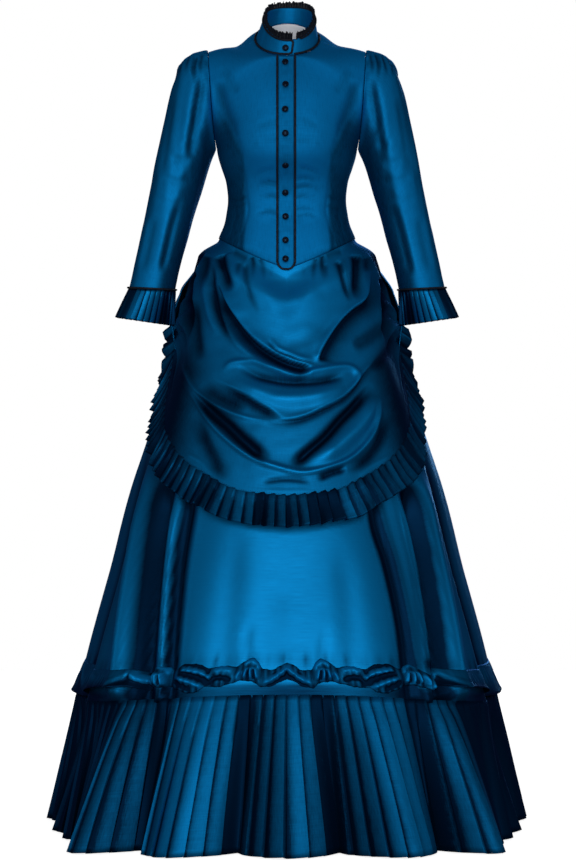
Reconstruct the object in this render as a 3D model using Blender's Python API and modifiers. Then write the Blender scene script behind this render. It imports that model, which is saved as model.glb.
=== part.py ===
"""Bustle dress in satin: bodice, sleeves, draped overskirt and flounced underskirt, piece by piece.

Metres, +Z up. The front of the dress faces -Y and the wearer's left is +X. The origin lies midway
between the shoulders, where the wearer carries the dress, and the hem is 1.44 m below it.
Angles around the dress are in degrees: 0 at the front, 90 on the wearer's left, 180 at the back.
Every cloth piece is an open sheet of rows of points, outer face first, thickened inwards.
"""

from collections import namedtuple
import math

import bpy
from mathutils import Matrix, Vector

COLLECTION = "bustle_dress"

# Cloth and seams
CLOTH = 0.0015
FRILL_CLOTH = 0.0012
LINING_CLOTH = 0.0010
LINING_LEAN = 0.30       # how far the neck lining runs back as it hangs
SEAM = 0.0006            # between two sewn edges
FRILL_SEAM = 0.0009      # between the overskirt's edge and its frill
TUCK_GAP = 0.0017        # between the bodice and what is tucked under it
TUCKED = CLOTH + TUCK_GAP
LAYER_GAP = 0.0009       # between the overskirt and the underskirt at the waist
FACE_GAP = 0.0004        # under what lies on a panel
CORD_RADIUS = 0.0019     # piping

# Heights along the dress
UNDERARM = -0.202
SHOULDER_TIP = -0.0244
SHOULDER_SLOPE = 0.342
NECK_FRONT = -0.037
NECK_BACK = 0.032
BASQUE_POINT = -0.426    # hem of the bodice at the centre front
BASQUE_SIDE = -0.368
BASQUE_BACK = -0.330
BASQUE_TUCK = 0.012      # how far the skirts run up under the bodice
HIP_START = 0.002        # how far below the bodice's hem the skirts start to swell
HIP_BLEND = 0.030        # how far below the bodice's hem the skirts swell to their full form
HEM = -1.440
FLOUNCE_TOP = -1.178
FLOUNCE_SIDE_DROP = 0.035
RUCHE_ABOVE = 0.048      # from the flounce's seam up to the middle of the ruched band
RUCHE_HALF = 0.030       # half its height
SHELF_DROP = 0.009       # how far the underskirt lies below the overskirt where both run out level

# Neckline and collar
NECK_HALF_WIDTH = 0.0605
NECK_HALF_DEPTH = 0.065
NECK_CENTRE = -0.010
NECK_RISE_POWER = 0.7335
COLLAR_HEIGHT = 0.029
COLLAR_TOP_HALF_WIDTH = 0.057
COLLAR_TOP_HALF_DEPTH = 0.062
COLLAR_TOP_CENTRE = -0.012
COLLAR_LAP = 0.0024      # the lap end stands this far outside the under end
COLLAR_GAP = 0.0010      # between the neckline and the collar
COLLAR_START = -3.0
COLLAR_END = 369.0
COLLAR_FRILL_HEIGHT = 0.0135
COLLAR_FRILL_START = 13.0
COLLAR_FRILL_END = 365.0

# Armholes
ARMHOLE_FRONT = 0.062
ARMHOLE_BACK = 0.058
ARMHOLE_LOW_X = 0.130
ARMHOLE_TOP_X = 0.145

# Overskirt and underskirt
OVERSKIRT_FREE = 0.014   # how far the overskirt stands off the underskirt's form at the hips
OVERSKIRT_FREE_LOW = 0.022
DRAPE_FREE = 0.024
SIDE_SEAM_ANGLE = 80.0   # where the apron meets the bustle drape
FRILL_DEPTH = 0.058

# Placket and buttons
PLACKET_LEFT = 0.0125
PLACKET_RIGHT = -0.0155
PLACKET_FOOT = ((0.0, 0.40), (0.10, 0.80), (0.32, 1.0))    # the rounded foot: step upwards, share of the width
PLACKET_SHARES = (0.0, 0.25, 0.5, 0.75, 1.0)
BUTTON_X = -0.0030
COLLAR_BUTTON = Vector((-0.0044, 0.0, -0.0245))
BUTTON_HEIGHTS = (-0.0526, -0.0943, -0.1392, -0.1815, -0.2344, -0.2849, -0.3314, -0.3746, -0.4089)

# Pleats, gathers and puffs, 200 in all
FLOUNCE_PLEATS = 18      # in each quarter
APRON_PLEATS = 36        # one to each column of the apron
DRAPE_PLEATS = 22
CUFF_PLEATS = 10
COLLAR_PLEATS = 20
RUCHE_PUFFS = 24

# Rows of a pleated strip: share of its depth, how far its folds stand out, how far it leans out
PleatRow = namedtuple("PleatRow", "share fold lean")
FLOUNCE_PLEAT_ROWS = (PleatRow(0.0, 0.0030, 0.0), PleatRow(0.45, 0.0085, 0.0), PleatRow(1.0, 0.0130, 0.0))
FRILL_PLEAT_ROWS = (PleatRow(0.0, 0.0004, 0.0), PleatRow(0.5, 0.0060, 0.0015), PleatRow(1.0, 0.0105, 0.0080))
CUFF_PLEAT_ROWS = (PleatRow(0.0, 0.0008, 0.0), PleatRow(0.5, 0.0045, 0.0), PleatRow(1.0, 0.0075, 0.0))
COLLAR_PLEAT_ROWS = (PleatRow(0.0, 0.0006, 0.0), PleatRow(1.0, 0.0032, 0.0020))

END_TRIM = 0.008         # share of a step left free between two quarters of the flounce
RIDGE_AT = 0.68          # where a knife pleat's fold lies within its pitch

# Columns and rows of points
PANEL_COLUMNS = 8
SLEEVE_COLUMNS = 12
UNDERSKIRT_COLUMNS = 48
LOWER_SHARES = (0.0, 0.13, 0.27, 0.41, 0.56, 0.77, 1.0)                          # bodice, hem to underarm
YOKE_SHARES = (0.08, 0.20, 0.35, 0.50, 0.56, 0.65, 0.77, 0.89, 0.97, 1.0)        # underarm to shoulder
TUCK_DROPS = (0.0, 0.012, 0.022, 0.036, 0.062, 0.100)                            # skirts, at the bodice's hem
APRON_STEPS = 10
DRAPE_STEPS = 8
LOW_HEIGHTS = (-0.660, -0.800, -0.960)                                           # underskirt, below that
COLLAR_STEPS = 28
LINING_DROPS = (0.0, 0.020, 0.042)
PUFF_COLUMNS = 4

BodyRing = namedtuple("BodyRing", "height half_width front back")
BODICE_RINGS = (
    BodyRing(-0.202, 0.1300, 0.130, 0.104),
    BodyRing(-0.220, 0.1265, 0.125, 0.101),
    BodyRing(-0.238, 0.1210, 0.114, 0.097),
    BodyRing(-0.267, 0.1120, 0.096, 0.089),
    BodyRing(-0.297, 0.1090, 0.088, 0.086),
    BodyRing(-0.326, 0.1125, 0.091, 0.088),
    BodyRing(-0.341, 0.1155, 0.095, 0.093),
    BodyRing(-0.356, 0.1215, 0.100, 0.100),
    BodyRing(-0.400, 0.1430, 0.111, 0.125),
    BodyRing(-0.440, 0.1600, 0.119, 0.150),
)

CentreLine = namedtuple("CentreLine", "height front back")
CENTRE_LINES = (
    CentreLine(0.032, 0.070, 0.055),
    CentreLine(0.000, 0.072, 0.068),
    CentreLine(-0.037, 0.075, 0.084),
    CentreLine(-0.055, 0.084, 0.091),
    CentreLine(-0.080, 0.098, 0.099),
    CentreLine(-0.110, 0.112, 0.105),
    CentreLine(-0.140, 0.122, 0.109),
    CentreLine(-0.170, 0.129, 0.108),
    CentreLine(-0.202, 0.130, 0.104),
)

BUST_ANGLE_X = 0.074
BUST_HEIGHT = -0.200
BUST_SPREAD_X = 0.040
BUST_SPREAD_Z = 0.050
BUST_OUT = 0.009

SkirtRing = namedtuple("SkirtRing", "height half_width front back centre square")
SKIRT_RINGS = (
    SkirtRing(-0.335, 0.118, 0.092, 0.094, 0.000, 2.0),
    SkirtRing(-0.370, 0.140, 0.104, 0.140, 0.015, 2.0),
    SkirtRing(-0.400, 0.153, 0.114, 0.210, 0.040, 2.0),
    SkirtRing(-0.430, 0.164, 0.124, 0.275, 0.060, 2.1),
    SkirtRing(-0.460, 0.174, 0.133, 0.312, 0.075, 2.1),
    SkirtRing(-0.520, 0.196, 0.152, 0.340, 0.090, 2.1),
    SkirtRing(-0.600, 0.218, 0.180, 0.352, 0.100, 2.2),
    SkirtRing(-0.700, 0.248, 0.213, 0.368, 0.100, 2.3),
    SkirtRing(-0.800, 0.276, 0.246, 0.392, 0.090, 2.4),
    SkirtRing(-0.900, 0.304, 0.279, 0.425, 0.080, 2.5),
    SkirtRing(-1.000, 0.331, 0.312, 0.465, 0.070, 2.7),
    SkirtRing(-1.110, 0.361, 0.348, 0.510, 0.060, 2.9),
    SkirtRing(-1.200, 0.383, 0.376, 0.545, 0.055, 3.1),
    SkirtRing(-1.440, 0.438, 0.445, 0.610, 0.050, 3.5),
)

# Long folds of the underskirt: ridges stand out and troughs go in
LongFold = namedtuple("LongFold", "angle spread out")
LONG_FOLDS = (
    LongFold(-162, 10, 0.014), LongFold(-148, 8, -0.016), LongFold(-132, 9, 0.015),
    LongFold(-117, 8, -0.018), LongFold(-103, 8, 0.014), LongFold(-89, 7, 0.012),
    LongFold(-74, 7, -0.020), LongFold(-59, 8, 0.013), LongFold(-43, 7, -0.022),
    LongFold(-29, 8, 0.012), LongFold(28, 8, 0.011), LongFold(42, 7, -0.018),
    LongFold(57, 8, 0.015), LongFold(73, 7, -0.022), LongFold(88, 7, 0.011),
    LongFold(102, 8, 0.013), LongFold(118, 8, -0.017), LongFold(134, 9, 0.016),
    LongFold(149, 8, -0.015), LongFold(165, 10, 0.013),
)
BACK_SQUARE = 0.25       # how much of the front's squareness the back half keeps
FOLDS_START = -0.66
FOLDS_FULL = -1.02

# Swags of the apron, seen from the front: each hangs from its two ends to its lowest point
Swag = namedtuple("Swag", "left_x left_z low_x low_z right_x right_z out spread")
SWAGS = (
    Swag(-0.135, -0.470, 0.020, -0.600, 0.175, -0.500, -0.010, 0.015),
    Swag(-0.180, -0.520, 0.015, -0.628, 0.185, -0.560, 0.008, 0.013),
    Swag(-0.190, -0.570, 0.010, -0.692, 0.160, -0.600, -0.012, 0.016),
    Swag(-0.200, -0.600, 0.025, -0.728, 0.205, -0.575, 0.008, 0.014),
    Swag(-0.215, -0.615, 0.010, -0.776, 0.200, -0.630, -0.014, 0.017),
)

# Bottom edge of the overskirt all round: low at the front, hitched at the hips, low at the back
EdgePoint = namedtuple("EdgePoint", "angle height")
OVERSKIRT_EDGE = (
    EdgePoint(0, -0.8285), EdgePoint(12, -0.820), EdgePoint(23, -0.797), EdgePoint(37, -0.765),
    EdgePoint(55, -0.706), EdgePoint(68, -0.645), EdgePoint(80, -0.585), EdgePoint(90, -0.568),
    EdgePoint(100, -0.585), EdgePoint(115, -0.640), EdgePoint(135, -0.720), EdgePoint(155, -0.785),
    EdgePoint(180, -0.810),
)

# Sleeve sections: the outer and inner points of each, its half depth and how far forward it lies
SleeveRing = namedtuple("SleeveRing", "outer_x outer_z inner_x inner_z half_depth forward")
SLEEVE_RINGS = (
    SleeveRing(0.1600, -0.0240, 0.1318, -0.2060, 0.0650, 0.002),
    SleeveRing(0.1800, -0.0310, 0.1345, -0.2130, 0.0680, 0.003),
    SleeveRing(0.1985, -0.0500, 0.1380, -0.2210, 0.0690, 0.004),
    SleeveRing(0.2085, -0.0780, 0.1420, -0.2320, 0.0680, 0.006),
    SleeveRing(0.2180, -0.1130, 0.1470, -0.2470, 0.0650, 0.008),
    SleeveRing(0.2260, -0.1500, 0.1530, -0.2670, 0.0615, 0.011),
    SleeveRing(0.2345, -0.1900, 0.1590, -0.2880, 0.0580, 0.014),
    SleeveRing(0.2420, -0.2280, 0.1665, -0.3120, 0.0550, 0.018),
    SleeveRing(0.2495, -0.2680, 0.1745, -0.3400, 0.0520, 0.022),
    SleeveRing(0.2580, -0.3120, 0.1820, -0.3690, 0.0490, 0.026),
    SleeveRing(0.2670, -0.3570, 0.1910, -0.4000, 0.0460, 0.030),
    SleeveRing(0.2780, -0.4080, 0.1990, -0.4320, 0.0435, 0.034),
    SleeveRing(0.2900, -0.4600, 0.2055, -0.4640, 0.0420, 0.038),
)
CUFF_FRILL_DROP = Vector((0.010, -0.004, -0.0575))
CUFF_FRILL_FLARE = 1.22

SATIN = ("satin_blue", (0.0035, 0.075, 0.21), 0.35)
TRIM = ("trim_black", (0.003, 0.005, 0.012), 0.6)
LINING = ("lining_white", (0.78, 0.80, 0.82), 0.8)
BUTTON = ("button_black", (0.004, 0.005, 0.010), 0.3)


# Tables and curves

def smooth_value(rows, key, column, at):
    """A table column's value at a place along its key column, on a curve that never overshoots."""
    keys = [getattr(row, key) for row in rows]
    values = [getattr(row, column) for row in rows]
    if keys[0] > keys[-1]:
        keys.reverse()
        values.reverse()
    if at <= keys[0]:
        return values[0]
    if at >= keys[-1]:
        return values[-1]
    secants = [(values[i + 1] - values[i]) / (keys[i + 1] - keys[i]) for i in range(len(keys) - 1)]
    index = max(i for i in range(len(secants)) if keys[i] <= at)

    def slope(i):
        if i == 0 or i == len(keys) - 1:
            return secants[min(i, len(secants) - 1)]
        before, after = secants[i - 1], secants[i]
        return 2 * before * after / (before + after) if before * after > 0 else 0.0

    span = keys[index + 1] - keys[index]
    t = (at - keys[index]) / span
    return ((2 * t ** 3 - 3 * t ** 2 + 1) * values[index] + (t ** 3 - 2 * t ** 2 + t) * span * slope(index)
            + (3 * t ** 2 - 2 * t ** 3) * values[index + 1] + (t ** 3 - t ** 2) * span * slope(index + 1))


def mix(first, second, share):
    return first + (second - first) * share


def ease(share):
    share = min(1.0, max(0.0, share))
    return share * share * (3 - 2 * share)


def signed_power(value, power):
    return math.copysign(abs(value) ** power, value)


def step_along(points, share):
    """The step, and how far into it, at a share of the length of a row of points."""
    lengths = [(after - before).length for before, after in zip(points, points[1:])]
    left = min(max(share, 0.0), 1.0) * sum(lengths)
    for index, length in enumerate(lengths):
        if left <= length:
            return index, left / length
        left -= length
    return len(lengths) - 1, 1.0


def along(points, share):
    """The point at a share of the length of a row of points."""
    index, part = step_along(points, share)
    return points[index].lerp(points[index + 1], part)


def bezier(first, lean_out, lean_in, last, t):
    return (first * (1 - t) ** 3 + lean_out * (3 * t * (1 - t) ** 2)
            + lean_in * (3 * t * t * (1 - t)) + last * t ** 3)


# Forms that the pieces share

def bodice_point(angle, height, inside=0.0):
    """Outer face of the bodice below the underarm, or a point a little inside it."""
    turn = math.radians(angle)
    half_width = smooth_value(BODICE_RINGS, "height", "half_width", height)
    column = "front" if math.cos(turn) > 0 else "back"
    depth = smooth_value(BODICE_RINGS, "height", column, height)
    point = Vector((half_width * math.sin(turn), -depth * math.cos(turn), height))
    out = Vector((point.x, point.y, 0)).normalized()
    return bust_shaped(point) - out * inside


def bust_shaped(point):
    """The darts throw the front out into one broad, smooth bust."""
    if point.y > 0:
        return point
    across = math.exp(-((abs(point.x) - BUST_ANGLE_X) / BUST_SPREAD_X) ** 2)
    up = math.exp(-((point.z - BUST_HEIGHT) / BUST_SPREAD_Z) ** 2)
    fade = ease(-point.y / 0.05)
    return point - Vector((0, BUST_OUT * across * up * fade, 0))


def basque_hem(angle):
    """Height of the bodice's hem: a point at the front, level at the sides, higher at the back."""
    turn = math.radians(angle)
    side = abs(math.sin(turn))
    if math.cos(turn) > 0:
        return mix(BASQUE_POINT, BASQUE_SIDE, side)
    return mix(BASQUE_BACK, BASQUE_SIDE, side)


def skirt_form(angle, height):
    """The underskirt's form without its folds, and the way out from it."""
    ring = {name: smooth_value(SKIRT_RINGS, "height", name, height) for name in SkirtRing._fields[1:]}
    turn = math.radians(angle)
    square = ring["square"] if math.cos(turn) > 0 else mix(2.0, ring["square"], BACK_SQUARE)
    power = 2 / square
    ahead = signed_power(math.cos(turn), power)
    reach = ring["front"] + ring["centre"] if ahead > 0 else ring["back"] - ring["centre"]
    point = Vector((ring["half_width"] * signed_power(math.sin(turn), power), ring["centre"] - reach * ahead, height))
    out = Vector((point.x / ring["half_width"] ** 2, (point.y - ring["centre"]) / reach ** 2, 0)).normalized()
    return point, out


def hip_point(angle, height, tucked, free):
    """A skirt layer: tucked this far inside the bodice above its hem, free of the form below it."""
    close = bodice_point(angle, height, tucked)
    form, out = skirt_form(angle, height)
    share = ease((basque_hem(angle) - height - HIP_START) / HIP_BLEND)
    return close.lerp(form + out * free, share)


def long_folds(angle, height):
    """How far the underskirt's folds stand out or in."""
    share = ease((FOLDS_START - height) / (FOLDS_START - FOLDS_FULL))
    total = 0.0
    for fold in LONG_FOLDS:
        away = (angle - fold.angle + 180) % 360 - 180
        total += fold.out * math.exp(-(away / fold.spread) ** 2)
    return total * share


def swag_out(x, z):
    """How far the apron's swags stand out or in at a place seen from the front."""
    total = 0.0
    for swag in SWAGS:
        if x < swag.low_x:
            share = (swag.low_x - x) / (swag.low_x - swag.left_x)
            end_z = swag.left_z
        else:
            share = (x - swag.low_x) / (swag.right_x - swag.low_x)
            end_z = swag.right_z
        line = mix(swag.low_z, end_z, share ** 1.8)
        fade = ease((1.15 - share) / 0.3)
        total += swag.out * fade * math.exp(-((z - line) / swag.spread) ** 2)
    return total


def overskirt_edge(angle):
    return smooth_value(OVERSKIRT_EDGE, "angle", "height", abs((angle + 180) % 360 - 180))


def neck_point(angle):
    """The neckline, where the bodice ends and the collar stands."""
    turn = math.radians(angle)
    rise = ((1 - math.cos(turn)) / 2) ** NECK_RISE_POWER
    return Vector((NECK_HALF_WIDTH * math.sin(turn), NECK_CENTRE - NECK_HALF_DEPTH * math.cos(turn),
                   mix(NECK_FRONT, NECK_BACK, rise)))


def armhole_point(turn_deg):
    """The armhole on the wearer's left: 0 at the underarm, forward, 180 at the shoulder, then back."""
    turn = math.radians(turn_deg)
    up = (1 - math.cos(turn)) / 2
    depth = ARMHOLE_FRONT if math.sin(turn) > 0 else ARMHOLE_BACK
    return Vector((mix(ARMHOLE_LOW_X, ARMHOLE_TOP_X, up ** 0.7), -depth * signed_power(math.sin(turn), 0.9),
                   mix(UNDERARM, SHOULDER_TIP, up)))


# Making objects

def material(name, colour, roughness):
    made = bpy.data.materials.get(name)
    if made is None:
        made = bpy.data.materials.new(name)
        made.use_nodes = True
        shader = made.node_tree.nodes["Principled BSDF"]
        shader.inputs["Base Color"].default_value = (*colour, 1)
        shader.inputs["Roughness"].default_value = roughness
        shader.inputs["Metallic"].default_value = 0.0
        made.diffuse_color = (*colour, 1)
    return made


def finish(piece, look):
    piece.data.materials.append(material(*look))
    bpy.data.collections[COLLECTION].objects.link(piece)
    return piece


def cloth(name, rows, look=SATIN, closed=False, wall=CLOTH, inside=None):
    """A wall of cloth from rows of outer points, with its inner face on the side of `inside`."""
    across = len(rows[0])
    points = [point for row in rows for point in row]
    middle = inside if inside is not None else sum(points, Vector()) / len(points)
    faces = []
    for row in range(len(rows) - 1):
        for column in range(across if closed else across - 1):
            after = (column + 1) % across
            low, high = row * across, (row + 1) * across
            faces.append((low + column, high + column, high + after, low + after))
    outward = 0.0
    for face in faces:
        a, b, c, d = (points[i] for i in face)
        outward += (c - a).cross(d - b).dot((a + c) / 2 - middle)
    if outward < 0:
        faces = [tuple(reversed(face)) for face in faces]
    mesh = bpy.data.meshes.new(name)
    mesh.from_pydata([tuple(point) for point in points], [], faces)
    mesh.shade_smooth()
    piece = bpy.data.objects.new(name, mesh)
    solidify = piece.modifiers.new("wall", "SOLIDIFY")
    solidify.thickness = wall
    solidify.offset = -1.0
    return finish(piece, look)


def cord(name, points, closed=False, look=TRIM, radius=CORD_RADIUS):
    """A piping cord along a route."""
    curve = bpy.data.curves.new(name, "CURVE")
    curve.dimensions = "3D"
    curve.bevel_depth = radius
    curve.bevel_resolution = 0
    curve.use_fill_caps = True
    spline = curve.splines.new("POLY")
    spline.points.add(len(points) - 1)
    for place, point in zip(spline.points, points):
        place.co = (*point, 1)
    spline.use_cyclic_u = closed
    return finish(bpy.data.objects.new(name, curve), look)


def mirrored(rows):
    return [[Vector((-point.x, point.y, point.z)) for point in row] for row in rows]


# Bodice

def lower_row(share, front):
    """A row of a bodice panel below the underarm, from the centre to the side seam."""
    row = []
    for column in range(PANEL_COLUMNS + 1):
        turn = 90 * column / PANEL_COLUMNS
        angle = turn if front else 180 - turn
        row.append(bodice_point(angle, mix(basque_hem(angle), UNDERARM, share)))
    return row


def yoke_row(share, front):
    """A row above the underarm, from the centre line or neckline to the armhole or shoulder."""
    way = -1 if front else 1
    column_name = "front" if front else "back"
    if share <= 0.5:
        top = NECK_FRONT if front else NECK_BACK
        height = mix(UNDERARM, top, share / 0.5)
        first = Vector((0, way * smooth_value(CENTRE_LINES, "height", column_name, height), height))
        lean = 0.0
    else:
        turn = 90 * (share - 0.5) / 0.5
        first = neck_point(turn if front else 180 - turn)
        lean = way * 0.10 * math.sin(math.radians(2 * turn))
    last = armhole_point(180 * share if front else 360 - 180 * share)
    width = last.x - first.x
    arrive = math.radians(90 * (1 - share) ** 1.3)
    depth = smooth_value(CENTRE_LINES, "height", column_name, UNDERARM)
    leave_length = width * mix(0.5523, 0.34, ease(share))
    arrive_length = mix(0.5523 * depth, 0.34 * width, ease(share ** 0.6))
    near_seam = ease((share - 0.5) / 0.5)
    fall = SHOULDER_SLOPE * near_seam * leave_length
    rise = mix((first.z - last.z) * 0.40, SHOULDER_SLOPE * arrive_length, near_seam)
    lean_out = first + Vector((leave_length, lean * leave_length, -fall))
    lean_in = last + Vector((-arrive_length * math.cos(arrive), way * arrive_length * math.sin(arrive), rise))
    steps = [column / PANEL_COLUMNS for column in range(PANEL_COLUMNS + 1)]
    return [bust_shaped(bezier(first, lean_out, lean_in, last, t)) for t in steps]


def panel_rows(front):
    """Half of the bodice's front or back on the wearer's left, from the hem up, clear of its seams."""
    rows = [lower_row(share, front) for share in LOWER_SHARES] + [yoke_row(share, front) for share in YOKE_SHARES]
    side_seam = Vector((0, -SEAM / 2 if front else SEAM / 2, 0))
    centre_seam = Vector((SEAM / 2, 0, 0))
    for index, row in enumerate(rows):
        row[0] = row[0] + centre_seam
        row[-1] = row[-1] + (side_seam if index < len(LOWER_SHARES) else Vector((-SEAM, 0, 0)))
    rows[-1] = [point + side_seam for point in rows[-1]]
    return rows


def make_bodice():
    inside = Vector((0, 0, -0.2))
    for name, front in (("front", True), ("back", False)):
        rows = panel_rows(front)
        cloth(f"bodice_{name}_left", rows, inside=inside)
        cloth(f"bodice_{name}_right", mirrored(rows), inside=inside)


# Placket, piping and buttons

def front_face(row, x):
    """The point of a front panel's row at a given x, read along its straight steps."""
    reach = abs(x)
    for first, second in zip(row, row[1:]):
        if second.x >= reach:
            share = (reach - first.x) / (second.x - first.x)
            point = first.lerp(second, max(share, 0.0))
            return Vector((x, point.y, point.z))
    return row[-1]


def placket_spine():
    """The front's rows that the placket covers, from its foot to the neckline, each with its width."""
    rows = [row for row in panel_rows(True) if row[0].x < SEAM]
    foot = [([low.lerp(high, share) for low, high in zip(rows[0], rows[1])], width) for share, width in PLACKET_FOOT]
    return foot + [(row, 1.0) for row in rows[1:]]


def row_normals(rows):
    """The way out of a front panel at each of its rows, square to its profile."""
    normals = []
    for index in range(len(rows)):
        below, above = rows[max(index - 1, 0)][0], rows[min(index + 1, len(rows) - 1)][0]
        normals.append(Vector((0, -(above.z - below.z), above.y - below.y)).normalized())
    return normals


def placket_rows(lift=CLOTH + FACE_GAP + 0.0003):
    """Rows of the placket's outer face, this far off the front."""
    spine = placket_spine()
    middle = (PLACKET_LEFT + PLACKET_RIGHT) / 2
    rows = []
    for (row, width), out in zip(spine, row_normals([row for row, _ in spine])):
        xs = [middle + (mix(PLACKET_RIGHT, PLACKET_LEFT, share) - middle) * width for share in PLACKET_SHARES]
        rows.append([front_face(row, x) + out * lift for x in xs])
    rows[-1] = [point + Vector((0, 0, -SEAM)) for point in rows[-1]]
    return rows


def beside(outline, away):
    """A route that runs beside an outline on the front of the dress, this far outside it."""
    route = []
    for index, point in enumerate(outline):
        before = (point - outline[max(index - 1, 0)]).normalized()
        after = (outline[min(index + 1, len(outline) - 1)] - point).normalized()
        tangent = (before + after).normalized()
        side = Vector((-tangent.z, 0, tangent.x)).normalized()
        bend = max(0.5, tangent.dot(after if after.length > 0 else before))
        route.append(point + side * away / bend)
    return route


def make_placket():
    cloth("placket", placket_rows(), inside=Vector((0, 0, -0.2)))
    rows = placket_rows(CORD_RADIUS + FACE_GAP)
    outline = [row[-1] for row in reversed(rows[1:])] + rows[0][::-1] + [row[0] for row in rows[1:]]
    cord("placket_piping", beside(outline, CORD_RADIUS + FACE_GAP + 0.0003))


def button_mesh():
    """A round shank button: its profile, from the crown down to the end of the shank."""
    profile = ((0.0, 0.0086), (0.0040, 0.0078), (0.0062, 0.0048), (0.0046, 0.0020), (0.0016, 0.0), (0.0, 0.0))
    mesh = bpy.data.meshes.new("button")
    edges = [(i, i + 1) for i in range(len(profile) - 1)]
    mesh.from_pydata([(x, 0, z) for x, z in profile], edges, [])
    return mesh


def make_button(number, place, out, mesh):
    piece = bpy.data.objects.new(f"button_{number:02d}", mesh)
    turn = Vector((0, 0, 1)).rotation_difference(out).to_matrix().to_4x4()
    piece.matrix_world = Matrix.Translation(place) @ turn
    screw = piece.modifiers.new("round", "SCREW")
    screw.angle = math.tau
    screw.steps = screw.render_steps = 8
    screw.use_merge_vertices = True
    screw.merge_threshold = 0.00001
    screw.use_smooth_shade = True
    bpy.data.collections[COLLECTION].objects.link(piece)


def make_buttons():
    mesh = button_mesh()
    mesh.materials.append(material(*BUTTON))
    face = [front_face(row, BUTTON_X) for row in placket_rows_middle()]
    collar_out = Vector((0, -1, 0.12)).normalized()
    collar_face = collar_point(360 + math.degrees(math.asin(COLLAR_BUTTON.x / NECK_HALF_WIDTH)),
                               (COLLAR_BUTTON.z - NECK_FRONT) / COLLAR_HEIGHT)
    make_button(1, collar_face + collar_out * FACE_GAP * 1.5, collar_out, mesh)
    for number, height in enumerate(BUTTON_HEIGHTS, start=2):
        index = max(i for i in range(len(face) - 1) if face[i].z <= height)
        low, high = face[index], face[index + 1]
        place = low.lerp(high, (height - low.z) / (high.z - low.z))
        up = (high - low).normalized()
        out = up.cross(Vector((1, 0, 0))).normalized()
        out = out if out.y < 0 else -out
        make_button(number, place + out * FACE_GAP * 1.5, out, mesh)


def placket_rows_middle():
    """The placket's outer face as rows that start at its middle."""
    rows = placket_rows()
    return [[Vector((abs(p.x), p.y, p.z)) for p in sorted(row, key=lambda p: abs(p.x))] for row in rows[1:]]


# Collar

def collar_point(angle, up, out=0.0):
    """Outer face of the collar: `up` runs from 0 at the neckline to 1 at its top edge."""
    turn = math.radians(angle)
    low = neck_point(angle)
    high = Vector((COLLAR_TOP_HALF_WIDTH * math.sin(turn), COLLAR_TOP_CENTRE - COLLAR_TOP_HALF_DEPTH * math.cos(turn),
                   low.z + COLLAR_HEIGHT))
    point = low.lerp(high, up)
    way = Vector((math.sin(turn), -math.cos(turn), 0))
    lap = COLLAR_LAP * ease((angle - 300) / 50)
    return point + way * (lap + out) + Vector((0, 0, COLLAR_GAP))


def make_collar():
    angles = [mix(COLLAR_START, COLLAR_END, step / COLLAR_STEPS) for step in range(COLLAR_STEPS + 1)]
    rows = [[collar_point(angle, up) for angle in angles] for up in (0.0, 0.5, 1.0)]
    cloth("collar", rows, inside=Vector((0, NECK_CENTRE, 0)))
    away = CORD_RADIUS + FACE_GAP + 0.0003
    covered = angles[2:-1] + [COLLAR_END - 6]
    top = [collar_point(angle, 0.94, away) for angle in covered]
    lap_end = [collar_point(COLLAR_END - 2, up, away) for up in (0.78, 0.5, 0.24)]
    base = [collar_point(angle, 0.08, away) for angle in reversed(covered)]
    cord("collar_piping", top + lap_end + base)


def make_collar_frill():
    """A fine frill that stands on the collar's top edge."""
    columns = pleat_columns(COLLAR_PLEATS)
    rows = []
    for share, wave, lean in COLLAR_PLEAT_ROWS:
        row = []
        for place, ridge in columns:
            angle = mix(COLLAR_FRILL_START, COLLAR_FRILL_END, place)
            out = wave * (1 if ridge else -1) + lean
            point = collar_point(angle, 1.0, out) + Vector((0, 0, FRILL_SEAM + COLLAR_FRILL_HEIGHT * share))
            row.append(point)
        rows.append(row)
    cloth("collar_frill", rows, look=TRIM, wall=FRILL_CLOTH * 0.85, inside=Vector((0, NECK_CENTRE, 0)))


def make_neck_lining():
    """The white patch inside the back neck hangs from the neckline just inside the bodice."""
    rows = []
    for drop in LINING_DROPS:
        row = []
        for step in range(11):
            angle = mix(128, 232, step / 10)
            neck = neck_point(angle)
            way = Vector((neck.x, neck.y - NECK_CENTRE, 0)).normalized()
            row.append(neck - way * (CLOTH + FACE_GAP) + Vector((0, LINING_LEAN * drop, -SEAM - drop)))
        rows.append(row)
    cloth("neck_lining", rows, look=LINING, wall=LINING_CLOTH, inside=Vector((0, NECK_CENTRE, 0)))


# Sleeves and cuffs

def sleeve_rows():
    """The wearer's left sleeve, from just outside the armhole to the cuff."""
    turns = [360 * column / SLEEVE_COLUMNS for column in range(SLEEVE_COLUMNS)]
    rows = [[armhole_point(turn) + Vector((SEAM, 0, 0)) for turn in turns]]
    for ring in SLEEVE_RINGS:
        outer = Vector((ring.outer_x, -ring.forward, ring.outer_z))
        inner = Vector((ring.inner_x, -ring.forward, ring.inner_z))
        row = []
        for turn in turns:
            side = math.radians(turn)
            point = inner.lerp(outer, (1 - math.cos(side)) / 2)
            row.append(point - Vector((0, ring.half_depth * math.sin(side), 0)))
        rows.append(row)
    return rows


def pleat_columns(pleats, closed=False):
    """Places along a pleated strip, each with whether a pleat's fold stands out there."""
    columns = []
    for pleat in range(pleats):
        columns += [(pleat / pleats, False), ((pleat + RIDGE_AT) / pleats, True)]
    return columns if closed else columns + [(1.0, False)]


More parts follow.
